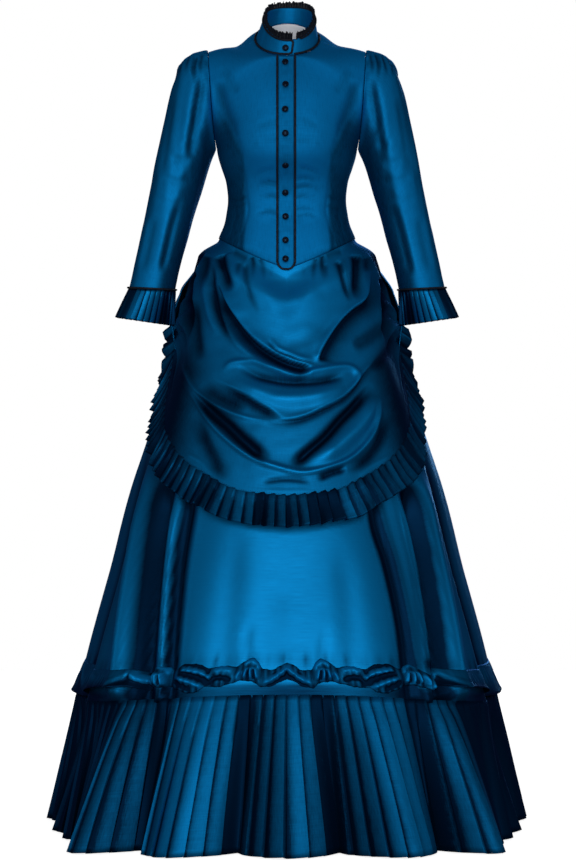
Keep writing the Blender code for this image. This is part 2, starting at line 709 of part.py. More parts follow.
def cuff_rows(end):
    """A pleated frill that flares from the sleeve's last section."""
    loop = end + end[:1]
    centre = sum(end, Vector()) / len(end)
    rows = []
    for share, depth, _ in CUFF_PLEAT_ROWS:
        row = []
        for place, ridge in pleat_columns(CUFF_PLEATS, closed=True):
            base = along(loop, place)
            way = (base - centre).normalized()
            flare = centre + (base - centre) * mix(1.0, CUFF_FRILL_FLARE, share)
            row.append(flare + CUFF_FRILL_DROP * share + way * (depth if ridge else 0) - Vector((0, 0, SEAM)))
        rows.append(row)
    return rows


def make_sleeves():
    rows = sleeve_rows()
    frill = cuff_rows(rows[-1])
    centre = sum(rows[-1], Vector()) / len(rows[-1])
    piping = []
    for point in rows[-1]:
        way = (point - centre).normalized()
        piping.append(point + way * (CORD_RADIUS + 0.0005) + Vector((0, 0, 0.0016)))
    for side, turned in (("left", lambda grid: grid), ("right", mirrored)):
        cloth(f"sleeve_{side}", turned(rows), closed=True)
        cloth(f"cuff_frill_{side}", turned(frill), closed=True, wall=FRILL_CLOTH)
        cord(f"cuff_piping_{side}", turned([piping])[0], closed=True)


# Overskirt

def tuck_heights(angle):
    return [basque_hem(angle) + BASQUE_TUCK - drop for drop in TUCK_DROPS]


def overskirt_heights(angle, steps):
    tuck = tuck_heights(angle)
    return tuck + [mix(tuck[-1], overskirt_edge(angle), step / steps) for step in range(1, steps + 1)]


def apron_heights(angle):
    return overskirt_heights(angle, APRON_STEPS)


def drape_heights(angle):
    return overskirt_heights(angle, DRAPE_STEPS)


def apron_point(angle, height):
    low = ease((-0.56 - height) / 0.12)
    free = mix(OVERSKIRT_FREE, OVERSKIRT_FREE_LOW, low)
    flat = hip_point(angle, height, TUCKED, free)
    clear_of_edge = ease((height - overskirt_edge(angle)) / 0.03)
    return hip_point(angle, height, TUCKED, free + swag_out(flat.x, height) * clear_of_edge)


def drape_point(angle, height):
    """The bustle drape swells like a shelf below the waist and falls in three puffs."""
    swell = ease((-0.415 - height) / 0.05)
    puffs = 0.010 * math.sin((height + 0.46) / 0.105 * math.tau) * ease((-0.46 - height) / 0.05)
    back = ease((100 - abs(angle - 180)) / 30)
    low = ease((-0.62 - height) / 0.16)
    free = mix(0.008, DRAPE_FREE, swell) + puffs * back * (1 - low) + 0.010 * low
    return hip_point(angle, height, TUCKED, free)


def columns_of(start, end, count, point_at, heights_at):
    """Rows of a panel whose columns run between two angles around the dress."""
    angles = [mix(start, end, column / count) for column in range(count + 1)]
    columns = [[point_at(angle, height) for height in heights_at(angle)] for angle in angles]
    return [list(row) for row in zip(*columns)]


def frill_rows(rows_above):
    """Knife pleats, one to a column of the panel above, that hang plumb near its hitched ends."""
    above, edge = rows_above
    pleats = len(edge) - 1
    rows = []
    for share, depth, kick in FRILL_PLEAT_ROWS:
        row = []
        for place, ridge in pleat_columns(pleats):
            index = min(int(place * pleats), pleats - 1)
            part = place * pleats - index
            base = edge[index].lerp(edge[index + 1], part)
            down = (base - above[index].lerp(above[index + 1], part)).normalized()
            run = (edge[min(index + 2, pleats)] - edge[max(index - 1, 0)]).normalized()
            square = (down - run * down.dot(run)).normalized()
            out = run.cross(square)
            out = out if out.dot(Vector((base.x, base.y - 0.08, 0))) > 0 else -out
            near_end = 1 - min(place, 1 - place) / 0.12
            way = square.lerp(Vector((0, 0, -1)), mix(0.40, 1.0, ease(near_end))).normalized()
            point = base + square * FRILL_SEAM + way * FRILL_DEPTH * share
            row.append(point + out * ((depth if ridge else 0) + kick))
        rows.append(row)
    return rows


def make_overskirt():
    inside = Vector((0, 0.08, -0.6))
    seam_turn = 0.15
    apron = columns_of(-SIDE_SEAM_ANGLE, SIDE_SEAM_ANGLE, APRON_PLEATS, apron_point, apron_heights)
    cloth("apron", apron, inside=inside)
    drape = columns_of(SIDE_SEAM_ANGLE + seam_turn, 360 - SIDE_SEAM_ANGLE - seam_turn, DRAPE_PLEATS,
                       drape_point, drape_heights)
    cloth("bustle_drape", drape, inside=inside)
    cloth("apron_frill", frill_rows(apron[-2:]), wall=FRILL_CLOTH, inside=inside)
    cloth("drape_frill", frill_rows(drape[-2:]), wall=FRILL_CLOTH, inside=inside)


# Underskirt, ruched band and flounce

def flounce_top(angle):
    return FLOUNCE_TOP - FLOUNCE_SIDE_DROP * abs(math.sin(math.radians(angle))) ** 1.5


def underskirt_heights(angle):
    seam = flounce_top(angle)
    return tuck_heights(angle) + list(LOW_HEIGHTS) + [seam + RUCHE_ABOVE + RUCHE_HALF, seam + RUCHE_ABOVE - RUCHE_HALF, seam]


def underskirt_point(angle, height):
    tucked = TUCKED + CLOTH + LAYER_GAP
    point = hip_point(angle, height, tucked, long_folds(angle, height))
    sunk = SHELF_DROP * ease((basque_hem(angle) - height) / HIP_BLEND) * ease((height + 0.70) / 0.16)
    return point - Vector((0, 0, sunk))


def even_angles(height, columns):
    """Angles that lie at even steps of length around the skirt's form."""
    fine = 720
    ring = [skirt_form(360 * step / fine, height)[0] for step in range(fine + 1)]
    angles = []
    for column in range(columns):
        index, part = step_along(ring, column / columns)
        angles.append(360 * (index + part) / fine)
    return angles


def underskirt_rows(angles):
    columns = [[underskirt_point(angle, height) for height in underskirt_heights(angle)] for angle in angles]
    return [list(row) for row in zip(*columns)]


def make_ruche(high_row, low_row):
    """Puffs of a gathered band, pinched between them, arched over the underskirt."""
    columns = RUCHE_PUFFS * PUFF_COLUMNS
    high_loop = high_row + high_row[:1]
    low_loop = low_row + low_row[:1]
    edge_out = FRILL_CLOTH + 0.0009
    rows = [[], [], []]
    for column in range(columns):
        place = column / columns
        step = place * UNDERSKIRT_COLUMNS
        index, part = int(step), step - int(step)
        high = high_loop[index].lerp(high_loop[index + 1], part)
        low = low_loop[index].lerp(low_loop[index + 1], part)
        middle = high.lerp(low, 0.5)
        up = (high - low) / 2
        out = Vector((middle.x / 0.36, (middle.y - 0.08) / 0.42, 0)).normalized()
        puff = math.sin(math.pi * (column % PUFF_COLUMNS) / PUFF_COLUMNS)
        tall = mix(0.55, 0.95, puff)
        bulge = mix(0.0075, 0.0200, puff)
        slant = 0.10 * math.sin(column * 1.9)
        for row, (height, away) in zip(rows, ((tall, edge_out), (slant, bulge), (-tall, edge_out))):
            row.append(middle + up * height + out * away)
    cloth("ruche", rows, closed=True, wall=FRILL_CLOTH)


def hem_point(angle):
    form, out = skirt_form(angle, HEM)
    return form + out * long_folds(angle, HEM) * 0.8, out


def flounce_rows(edge, angles, pleats):
    """Knife pleats from the underskirt's edge down to the hem."""
    rows = []
    for share, depth, _ in FLOUNCE_PLEAT_ROWS:
        row = []
        for place, ridge in pleat_columns(pleats):
            index, part = step_along(edge, place)
            base = edge[index].lerp(edge[index + 1], part)
            hem, out = hem_point(mix(angles[index], angles[index + 1], part))
            swing = 0.25 * math.sin(place * pleats * 0.9) * depth * math.sin(math.pi * place)
            point = base.lerp(hem, share) - Vector((0, 0, SEAM * (1 - share)))
            row.append(point + out * ((depth if ridge else 0) + swing * share))
        rows.append(row)
    return rows


def make_underskirt():
    inside = Vector((0, 0.08, -1.0))
    angles = even_angles(FLOUNCE_TOP, UNDERSKIRT_COLUMNS)
    rows = underskirt_rows(angles)
    cloth("underskirt", rows, closed=True, inside=inside)
    make_ruche(rows[-3], rows[-2])
    around = angles + [angle + 360 for angle in angles]
    loop = rows[-1] * 2
    eighth = UNDERSKIRT_COLUMNS // 8
    parts = (("front", 7 * eighth, 9 * eighth), ("left", eighth, 3 * eighth), ("back", 3 * eighth, 5 * eighth),
             ("right", 5 * eighth, 7 * eighth))
    for name, first, last in parts:
        edge, turns = loop[first:last + 1], around[first:last + 1]
        edge = [edge[0].lerp(edge[1], END_TRIM)] + edge[1:-1] + [edge[-1].lerp(edge[-2], END_TRIM)]
        turns = [mix(turns[0], turns[1], END_TRIM)] + turns[1:-1] + [mix(turns[-1], turns[-2], END_TRIM)]
        cloth(f"flounce_{name}", flounce_rows(edge, turns, FLOUNCE_PLEATS), wall=FRILL_CLOTH, inside=inside)


def main():
    for leftover in list(bpy.data.objects):
        bpy.data.objects.remove(leftover, do_unlink=True)
    made = bpy.data.collections.new(COLLECTION)
    bpy.context.scene.collection.children.link(made)
    make_bodice()
    make_placket()
    make_collar()
    make_collar_frill()
    make_neck_lining()
    make_buttons()
    make_sleeves()
    make_overskirt()
    make_underskirt()


main()
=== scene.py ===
"""A satin bustle dress, dressed: every visible piece of it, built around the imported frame.

Metres, +Z up. The dress faces -Y, the wearer's left is +X, and the origin lies midway between the
shoulders. Angles around the dress are in degrees: 0 at the front, 90 on the wearer's left, 180 at
the back. Each sub-assembly is a class that holds its sizes, builds its cloth and dresses it.
"""
import logging
import math
from dataclasses import dataclass
from enum import Enum
from typing import Mapping, Sequence

import bpy
import numpy as np
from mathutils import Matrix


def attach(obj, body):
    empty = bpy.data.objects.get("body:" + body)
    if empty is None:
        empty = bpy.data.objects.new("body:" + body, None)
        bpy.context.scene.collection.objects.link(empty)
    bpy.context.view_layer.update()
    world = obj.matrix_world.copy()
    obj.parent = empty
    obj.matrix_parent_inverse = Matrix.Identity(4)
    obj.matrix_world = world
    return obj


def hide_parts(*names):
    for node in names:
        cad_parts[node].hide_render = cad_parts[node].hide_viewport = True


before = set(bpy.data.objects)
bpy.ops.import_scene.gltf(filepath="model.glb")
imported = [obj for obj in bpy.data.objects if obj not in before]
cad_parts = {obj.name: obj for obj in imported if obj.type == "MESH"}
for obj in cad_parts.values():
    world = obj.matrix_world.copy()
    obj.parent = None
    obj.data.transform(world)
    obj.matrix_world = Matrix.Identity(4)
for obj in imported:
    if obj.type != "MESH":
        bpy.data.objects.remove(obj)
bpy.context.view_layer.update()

LOG = logging.getLogger("bustle_dress")
Points = np.ndarray
Route = Sequence[tuple[float, float]]

CLOTH = 0.0015
FRILL_CLOTH = 0.0009
SEAM = 0.0006
TUCKED = 0.0032
UNDERARM = -0.202
HEM = -1.440
FLOOR_Z = -1.4412
AXIS_Y = 0.08
REST_GAP = 0.0035
STEPS_IN_A_PLEAT = 8
INSIDE_THE_HIPS = (0.0, AXIS_Y, -0.6)
INSIDE_THE_SKIRT = (0.0, AXIS_Y, -1.0)


# ---------------------------------------------------------------- numbers

def ease(share: Points | float) -> Points:
    """Return a share clipped to 0 to 1 with soft ends."""
    share = np.clip(share, 0.0, 1.0)
    return share * share * (3 - 2 * share)


def mix(first: Points | float, second: Points | float, share: Points | float) -> Points:
    """Return the value at a share of the way from first to second."""
    return first + (second - first) * share


def signed_power(value: Points, power: float | Points) -> Points:
    """Return a value's size raised to a power, with its own sign."""
    return np.sign(value) * np.abs(value) ** power


def unit(vectors: Points) -> Points:
    """Return vectors of length 1."""
    return vectors / np.maximum(np.linalg.norm(vectors, axis=-1, keepdims=True), 1e-12)


def stack(x: Points | float, y: Points | float, z: Points | float) -> Points:
    """Return points from their three coordinates."""
    return np.stack(np.broadcast_arrays(x, y, z), axis=-1).astype(float)


def along(points: Points, shares: Points) -> Points:
    """Return the points at shares of the length of a row of points.

    Args:
        points: The row, count by 3.
        shares: Shares of its length, from 0 to 1.

    Returns:
        One point for each share.
    """
    lengths = np.concatenate([[0.0], np.cumsum(np.linalg.norm(np.diff(points, axis=0), axis=1))])
    at = np.asarray(shares) * lengths[-1]
    return np.stack([np.interp(at, lengths, points[:, axis]) for axis in range(points.shape[1])], axis=-1)


def smooth_rows(points: Points, at: Points) -> Points:
    """Return rows between given rows, on smooth curves through them.

    Args:
        points: The given rows, rows by columns by 3.
        at: Places to read, counted in rows from 0.

    Returns:
        The new rows.
    """
    at = np.clip(at, 0, len(points) - 1)
    low = np.minimum(at.astype(int), len(points) - 2)
    t = (at - low)[:, None, None]
    before, first = points[np.maximum(low - 1, 0)], points[low]
    second, after = points[low + 1], points[np.minimum(low + 2, len(points) - 1)]
    return 0.5 * (2 * first + (second - before) * t + (2 * before - 5 * first + 4 * second - after) * t ** 2
                  + (3 * first - before - 3 * second + after) * t ** 3)


def ripple(at: Points, seed: int, waves: int = 5) -> Points:
    """Return an uneven, seeded wave between about -1 and 1, smooth in its argument."""
    rng = np.random.RandomState(seed)
    total = np.zeros_like(np.asarray(at, float))
    for turn in range(waves):
        total += np.sin(at * rng.uniform(0.6, 1.7) * (1 + turn) + rng.uniform(0, math.tau)) / (1 + 0.6 * turn)
    return total / 2.2


class Profile:
    """A smooth line through a table's column that never overshoots its rows."""

    def __init__(self, keys: Sequence[float], values: Sequence[float]) -> None:
        """Keep the keys in rising order with the slope at each."""
        order = np.argsort(keys)
        self.keys = np.asarray(keys, float)[order]
        self.values = np.asarray(values, float)[order]
        secants = np.diff(self.values) / np.diff(self.keys)
        self.slopes = np.zeros(len(self.keys))
        self.slopes[0], self.slopes[-1] = secants[0], secants[-1]
        before, after = secants[:-1], secants[1:]
        same = before * after > 0
        self.slopes[1:-1][same] = 2 * before[same] * after[same] / (before + after)[same]

    def __call__(self, at: Points | float) -> Points:
        """Return the value at a place along the keys."""
        at = np.clip(at, self.keys[0], self.keys[-1])
        index = np.clip(np.searchsorted(self.keys, at, side="right") - 1, 0, len(self.keys) - 2)
        span = self.keys[index + 1] - self.keys[index]
        t = (at - self.keys[index]) / span
        return ((2 * t ** 3 - 3 * t ** 2 + 1) * self.values[index]
                + (t ** 3 - 2 * t ** 2 + t) * span * self.slopes[index]
                + (3 * t ** 2 - 2 * t ** 3) * self.values[index + 1]
                + (t ** 3 - t ** 2) * span * self.slopes[index + 1])


# ---------------------------------------------------------------- node trees

class Val:
    """A socket that takes part in Python arithmetic; each operation adds a Math node."""

    def __init__(self, graph: "Graph", socket: bpy.types.NodeSocket) -> None:
        """Keep the socket and the graph that it belongs to."""
        self.graph = graph
        self.socket = socket

    def _math(self, operation: str, *others: "Val | float") -> "Val":
        """Return this value joined with others by one Math node."""
        values = dict(enumerate((self, *others)))
        return Val(self.graph, self.graph.node("ShaderNodeMath", {"operation": operation}, values).outputs[0])

    def _from(self, operation: str, other: "Val | float") -> "Val":
        """Return a Math node whose first value is the other one."""
        values = {0: other, 1: self}
        return Val(self.graph, self.graph.node("ShaderNodeMath", {"operation": operation}, values).outputs[0])

    def __add__(self, other: "Val | float") -> "Val":
        """Return the sum."""
        return self._math("ADD", other)

    __radd__ = __add__

    def __sub__(self, other: "Val | float") -> "Val":
        """Return the difference."""
        return self._math("SUBTRACT", other)

    def __rsub__(self, other: "Val | float") -> "Val":
        """Return the other value less this one."""
        return self._from("SUBTRACT", other)

    def __mul__(self, other: "Val | float") -> "Val":
        """Return the product."""
        return self._math("MULTIPLY", other)

    __rmul__ = __mul__

    def __truediv__(self, other: "Val | float") -> "Val":
        """Return the quotient."""
        return self._math("DIVIDE", other)

    def __rtruediv__(self, other: "Val | float") -> "Val":
        """Return the other value over this one."""
        return self._from("DIVIDE", other)

    def __pow__(self, other: "Val | float") -> "Val":
        """Return the power."""
        return self._math("POWER", other)

    def floor(self) -> "Val":
        """Return the whole number below."""
        return self._math("FLOOR")

    def least(self, other: "Val | float") -> "Val":
        """Return the smaller of two values."""
        return self._math("MINIMUM", other)

    def most(self, other: "Val | float") -> "Val":
        """Return the larger of two values."""
        return self._math("MAXIMUM", other)


class Graph:
    """A node tree under construction; one method makes any node."""

    def __init__(self, tree: bpy.types.NodeTree) -> None:
        """Keep the tree."""
        self.tree = tree

    def node(self, kind: str, settings: Mapping[str, object] | None = None,
             inputs: Mapping[str | int, object] | None = None) -> bpy.types.Node:
        """Add a node.

        Args:
            kind: The node's type name.
            settings: Properties such as a Math node's operation, set before its sockets.
            inputs: Values or links for its sockets, by name or number.

        Returns:
            The node.
        """
        made = self.tree.nodes.new(kind)
        for name, value in (settings or {}).items():
            setattr(made, name, value)
        for name, value in (inputs or {}).items():
            if isinstance(value, Val):
                self.tree.links.new(value.socket, made.inputs[name])
            else:
                made.inputs[name].default_value = value
        return made

    def value(self, kind: str, settings: Mapping[str, object] | None = None,
              inputs: Mapping[str | int, object] | None = None, output: str | int = 0) -> Val:
        """Add a node and return one of its outputs."""
        return Val(self, self.node(kind, settings, inputs).outputs[output])

    def mixed(self, factor: Val | float, first: Val | tuple, second: Val | tuple) -> Val:
        """Return a colour between two."""
        return self.value("ShaderNodeMix", {"data_type": "RGBA"}, {0: factor, 6: first, 7: second}, 2)

    def vector(self, operation: str, first: Val, second: Val | tuple | None = None,
               scale: Val | float | None = None) -> Val:
        """Return a Vector Math node's result."""
        inputs: dict[str | int, object] = {0: first}
        if second is not None:
            inputs[1] = second
        if scale is not None:
            inputs["Scale"] = scale
        return self.value("ShaderNodeVectorMath", {"operation": operation}, inputs)


# ---------------------------------------------------------------- finishes

class Slot(Enum):
    """Material slots of the record."""

    SATIN = "satin_blue"
    TRIM = "trim_black"
    LINING = "lining_white"
    BUTTON = "button_black"


class Finish:
    """A material that is made once and shared by all pieces that wear it."""

    name: str
    slot: Slot

    def material(self) -> bpy.types.Material:
        """Return the material, made on first use."""
        found = bpy.data.materials.get(self.name)
        if found is None:
            found = bpy.data.materials.new(self.name)
            found.use_nodes = True
            found.node_tree.nodes.clear()
            graph = Graph(found.node_tree)
            shader = graph.node("ShaderNodeBsdfPrincipled", None, self.sockets(graph))
            graph.node("ShaderNodeOutputMaterial", None, {"Surface": Val(graph, shader.outputs[0])})
        return found

    def sockets(self, graph: Graph) -> dict[str | int, object]:
        """Return the shader's values and links."""
        raise NotImplementedError


@dataclass(frozen=True)
class Satin(Finish):
    """Heavy satin: a tinted, broad shine, faint weft streaks, and painted shade and highlights in its colour.
    """

    name: str = "satin_blue_cloth"
    slot: Slot = Slot.SATIN
    light: tuple[float, float, float, float] = (0.0026, 0.212, 0.520, 1.0)
    # Colour where shade is painted fully; light is the colour where none is painted.
    painted_dark: tuple[float, float, float, float] = (0.0008, 0.0120, 0.0380, 1.0)
    metallic: float = 0.86
    roughness: float = 0.46
    weave: float = 0.00035
    streak_length: float = 0.030
    crinkle: float = 0.00060
    slub_length: float = 0.016
    calmed: float = 0.25

    def sockets(self, graph: Graph) -> dict[str | int, object]:
        """Return the satin's colour with its painted shade and highlights, its roughness and bump over the
        cloth's own map.
        """
        place = graph.value("ShaderNodeUVMap", {"uv_map": "cloth"})
        body = graph.value("ShaderNodeTexCoord", None, None, "Object")
        streaks = graph.value("ShaderNodeMapping", None, {
            "Vector": place, "Scale": (1 / self.streak_length, 1 / (6 * self.weave), 1.0)})
        weft = graph.value("ShaderNodeTexNoise", None, {"Vector": streaks, "Scale": 1.0, "Detail": 2.0},
                           "Fac")
        cloud = graph.value("ShaderNodeTexNoise", None, {"Vector": body, "Scale": 7.0, "Detail": 3.0}, "Fac")
        crease = graph.value("ShaderNodeTexNoise", None, {
            "Vector": body, "Scale": 26.0, "Detail": 4.0, "Roughness": 0.55, "Distortion": 0.6}, "Fac")
        # Painted shade laid by each piece; where it is negative it paints highlights.
        painted_shade = graph.value("ShaderNodeAttribute", {"attribute_name": "painted_shade"}, None, "Fac")
        calm = graph.value("ShaderNodeAttribute", {"attribute_name": "calm"}, None, "Fac")
        slubs = graph.value("ShaderNodeMapping", None, {
            "Vector": place, "Scale": (1 / (4 * self.weave), 1 / self.slub_length, 1.0)})
        slub = graph.value("ShaderNodeTexNoise", None, {"Vector": slubs, "Scale": 1.0, "Detail": 3.0}, "Fac")
        # Random cloud and weft tone, the painted shade, and slub texture on calm pieces.
        shade = (0.16 * cloud + 0.12 * weft + 0.17 + painted_shade
                 + calm * (0.60 * slub - 0.47)).most(0.0).least(1.0)
        colour = graph.mixed(shade, self.light, self.painted_dark)
        rough = self.roughness + 0.10 * (weft - 0.5) + 0.08 * (cloud - 0.5) + self.calmed * calm
        fine = graph.value("ShaderNodeBump", None, {"Strength": 0.35, "Distance": self.weave, "Height": weft},
                           "Normal")
        soft = graph.value("ShaderNodeBump", None, {
            "Strength": 0.5, "Distance": self.crinkle, "Height": crease, "Normal": fine}, "Normal")
        return {"Base Color": colour, "Metallic": self.metallic, "Roughness": rough, "Normal": soft,
                "Specular IOR Level": 0.25, "Specular Tint": (0.02, 0.45, 0.90, 1.0)}


@dataclass(frozen=True)
class Braid(Finish):
    """Black-navy piping with a fine twist."""

    name: str = "trim_black_piping"
    slot: Slot = Slot.TRIM
    colour: tuple[float, float, float, float] = (0.0012, 0.0020, 0.0060, 1.0)
    sheen: tuple[float, float, float, float] = (0.0030, 0.0060, 0.0150, 1.0)
    rib: float = 0.0016

    def sockets(self, graph: Graph) -> dict[str | int, object]:
        """Return the piping's colour and ribs."""
        place = graph.value("ShaderNodeTexCoord", None, None, "Object")
        wave = graph.value("ShaderNodeTexWave", {"bands_direction": "DIAGONAL"}, {
            "Vector": place, "Scale": 1 / (self.rib * 20), "Distortion": 0.6, "Detail": 1.0}, "Fac")
        bump = graph.value("ShaderNodeBump", None, {"Strength": 0.4, "Distance": 0.0003, "Height": wave},
                           "Normal")
        return {"Base Color": graph.mixed(wave, self.colour, self.sheen), "Roughness": 0.74 - 0.10 * wave,
                "Specular IOR Level": 0.25,
                "Normal": bump}


@dataclass(frozen=True)
class Gauze(Finish):
    """Fine black gauze: sheer between its folds, dense on them and along its edge."""

    name: str = "trim_black_gauze"
    slot: Slot = Slot.TRIM
    colour: tuple[float, float, float, float] = (0.0030, 0.0045, 0.0100, 1.0)
    sheen: tuple[float, float, float, float] = (0.0060, 0.0080, 0.0140, 1.0)
    mesh: float = 0.0011
    sheer: float = 0.76

    def sockets(self, graph: Graph) -> dict[str | int, object]:
        """Return the gauze's threads, cut out by alpha."""
        place = graph.value("ShaderNodeUVMap", {"uv_map": "cloth"})
        cells = graph.value("ShaderNodeTexVoronoi", {"feature": "DISTANCE_TO_EDGE"}, {
            "Vector": place, "Scale": 1 / self.mesh}, "Distance")
        dense = graph.value("ShaderNodeAttribute", {"attribute_name": "dense"}, None, "Fac")
        thread = (1.0 - cells * 7.0).most(0.0)
        cover = (self.sheer + 0.45 * thread + dense).least(1.0)
        return {"Base Color": graph.mixed(thread, self.colour, self.sheen), "Roughness": 0.80,
                "Specular IOR Level": 0.12, "Alpha": cover}


@dataclass(frozen=True)
class Lining(Finish):
    """Plain white lining with a fine weave."""

    name: str = "lining_white_cloth"
    slot: Slot = Slot.LINING
    light: tuple[float, float, float, float] = (0.93, 0.94, 0.97, 1.0)
    shade: tuple[float, float, float, float] = (0.82, 0.85, 0.92, 1.0)
    weave: float = 0.0006

    def sockets(self, graph: Graph) -> dict[str | int, object]:
        """Return the lining's colour and weave."""
        place = graph.value("ShaderNodeUVMap", {"uv_map": "cloth"})
        noise = graph.value("ShaderNodeTexNoise", None, {"Vector": place, "Scale": 1 / (4 * self.weave),
                                                         "Detail": 3.0}, "Fac")
        bump = graph.value("ShaderNodeBump", None, {"Strength": 0.3, "Distance": 0.0002, "Height": noise},
                           "Normal")
        return {"Base Color": graph.mixed(noise, self.light, self.shade), "Roughness": 0.8, "Normal": bump}


@dataclass(frozen=True)
class Jet(Finish):
    """Glossy black of the shank buttons, worn duller in small patches."""

    name: str = "button_black_jet"
    slot: Slot = Slot.BUTTON
    colour: tuple[float, float, float, float] = (0.0035, 0.0042, 0.0090, 1.0)
    dust: tuple[float, float, float, float] = (0.006, 0.009, 0.020, 1.0)

    def sockets(self, graph: Graph) -> dict[str | int, object]:
        """Return the button's colour, gloss and light wear."""
        place = graph.value("ShaderNodeTexCoord", None, None, "Object")
        noise = graph.value("ShaderNodeTexNoise", None, {"Vector": place, "Scale": 420.0, "Detail": 3.0},
                            "Fac")
        wear = ((noise - 0.5) * 2.2).most(0.0).least(1.0)
        return {"Base Color": graph.mixed(wear, self.colour, self.dust), "Roughness": 0.14 + 0.30 * wear,
                "Coat Weight": 0.08, "Coat Roughness": 0.12, "Specular IOR Level": 0.18,
                "Specular Tint": (0.10, 0.35, 0.75, 1.0)}


SATIN, BRAID, GAUZE, LINING, JET = Satin(), Braid(), Gauze(), Lining(), Jet()


# ---------------------------------------------------------------- cloth

@dataclass(frozen=True)
class Fold:
    """A crease laid along a given route over a cloth, in the cloth's own two directions.

    The route's first direction runs to the wearer's left and its second one up. A trough has a
    negative height. A lip is a ridge beside it, on the upper side of a route that runs left. Shade
    is painted on the cloth below the route as far as its shade reaches.

    Columns of a fold table, in order:
        route: The places it passes through.
        out: How far it lifts the cloth.
        width: How far from the route it has nearly faded out.
        lip: Height of the ridge beside it.
        start, end: Shares of its length over which its two ends fade in and out.
        shade: How far the painted shade reaches below the route.
        dark: How deep the painted shade is, from 0 to 1.
        above: The shade's reach above the route, as a share of its reach below.
    """

    route: Route
    out: float
    width: float
    lip: float = 0.0
    start: float = 0.25
    end: float = 0.25
    shade: float = 0.0
    dark: float = 0.7
    above: float = 0.30

    def measure(self, across: Points, up: Points) -> tuple[Points, Points, Points]:
        """Return each place's distance from the route, its side and its fade.

        Args:
            across: First direction of each place, in metres.
            up: Second direction.

        Returns:
            Distance in metres, side (1 above a route that runs left) and fade from 0 to 1.
        """
        knots = np.asarray(self.route, float)
        steps = max(12, 6 * (len(knots) - 1))
        line = smooth_rows(knots[:, None, :], np.linspace(0, len(knots) - 1, steps + 1))[:, 0, :]
        nearest = np.full(across.shape, np.inf)
        side = np.zeros(across.shape)
        share = np.zeros(across.shape)
        for index, (low, high) in enumerate(zip(line, line[1:])):
            run = high - low
            dx, dz = across - low[0], up - low[1]
            part = np.clip((dx * run[0] + dz * run[1]) / max(run @ run, 1e-12), 0, 1)
            gap = np.hypot(dx - run[0] * part, dz - run[1] * part)
            closer = gap < nearest
            nearest = np.where(closer, gap, nearest)
            side = np.where(closer, np.sign(run[0] * dz - run[1] * dx), side)
            share = np.where(closer, (index + part) / steps, share)
        fade = ease(share / max(self.start, 1e-3)) * ease((1 - share) / max(self.end, 1e-3))
        return nearest, side, fade

    def lay(self, across: Points, up: Points) -> tuple[Points, Points]:
        """Return how far the fold lifts the cloth at each place, and how much shade it paints there."""
        nearest, side, fade = self.measure(across, up)
        lift = self.out * np.exp(-(nearest / self.width) ** 2)
        if self.lip:
            lift = lift + self.lip * np.exp(-((side * nearest - 1.7 * self.width) / (1.1 * self.width)) ** 2)
        shade = np.zeros(across.shape)
        if self.shade:
            reach = np.where(side < 0, self.shade, self.above * self.shade)
            shade = self.dark * np.exp(-(nearest / reach) ** 2)
        return lift * fade, shade * fade


@dataclass(frozen=True)
class Swag(Fold):
    """The edge of a hanging fold: a full, bright roll above its route and a trough below it, with shade
    painted into the trough.

    Further columns of a fold table:
        sink: How deep the hollow lies.
        below: How far down it reaches.
        turn: Half the width over which the roll turns into the hollow.
    """

    sink: float = 0.008
    below: float = 0.015
    turn: float = 0.0030

    def lay(self, across: Points, up: Points) -> tuple[Points, Points]:
        """Return how far the fold lifts the cloth at each place, and how much shade it paints there."""
        nearest, side, fade = self.measure(across, up)
        place = side * nearest
        upper = ease((place + self.turn) / (2 * self.turn))
        over, under = np.maximum(place, 0), np.maximum(-place, 0)
        lift = self.out * upper * np.exp(-(over / self.width) ** 2)
        lift = lift - self.sink * (1 - upper) * np.exp(-(under / self.below) ** 1.5)
        shade = self.dark * (1 - upper) * np.exp(-(under / self.shade) ** 1.8)
        return lift * fade, shade * fade


def laid(folds: Sequence[Fold], across: Points, up: Points) -> tuple[Points, Points]:
    """Return the summed lift and painted shade of several folds."""
    lift, shade = np.zeros(across.shape), np.zeros(across.shape)
    for fold in folds:
        more, darker = fold.lay(across, up)
        lift, shade = lift + more, 1 - (1 - shade) * (1 - np.clip(darker, 0, 1))
    return lift, shade


def folded(folds: Sequence[Fold], across: Points, up: Points) -> Points:
    """Return the summed lift of several folds."""
    return laid(folds, across, up)[0]


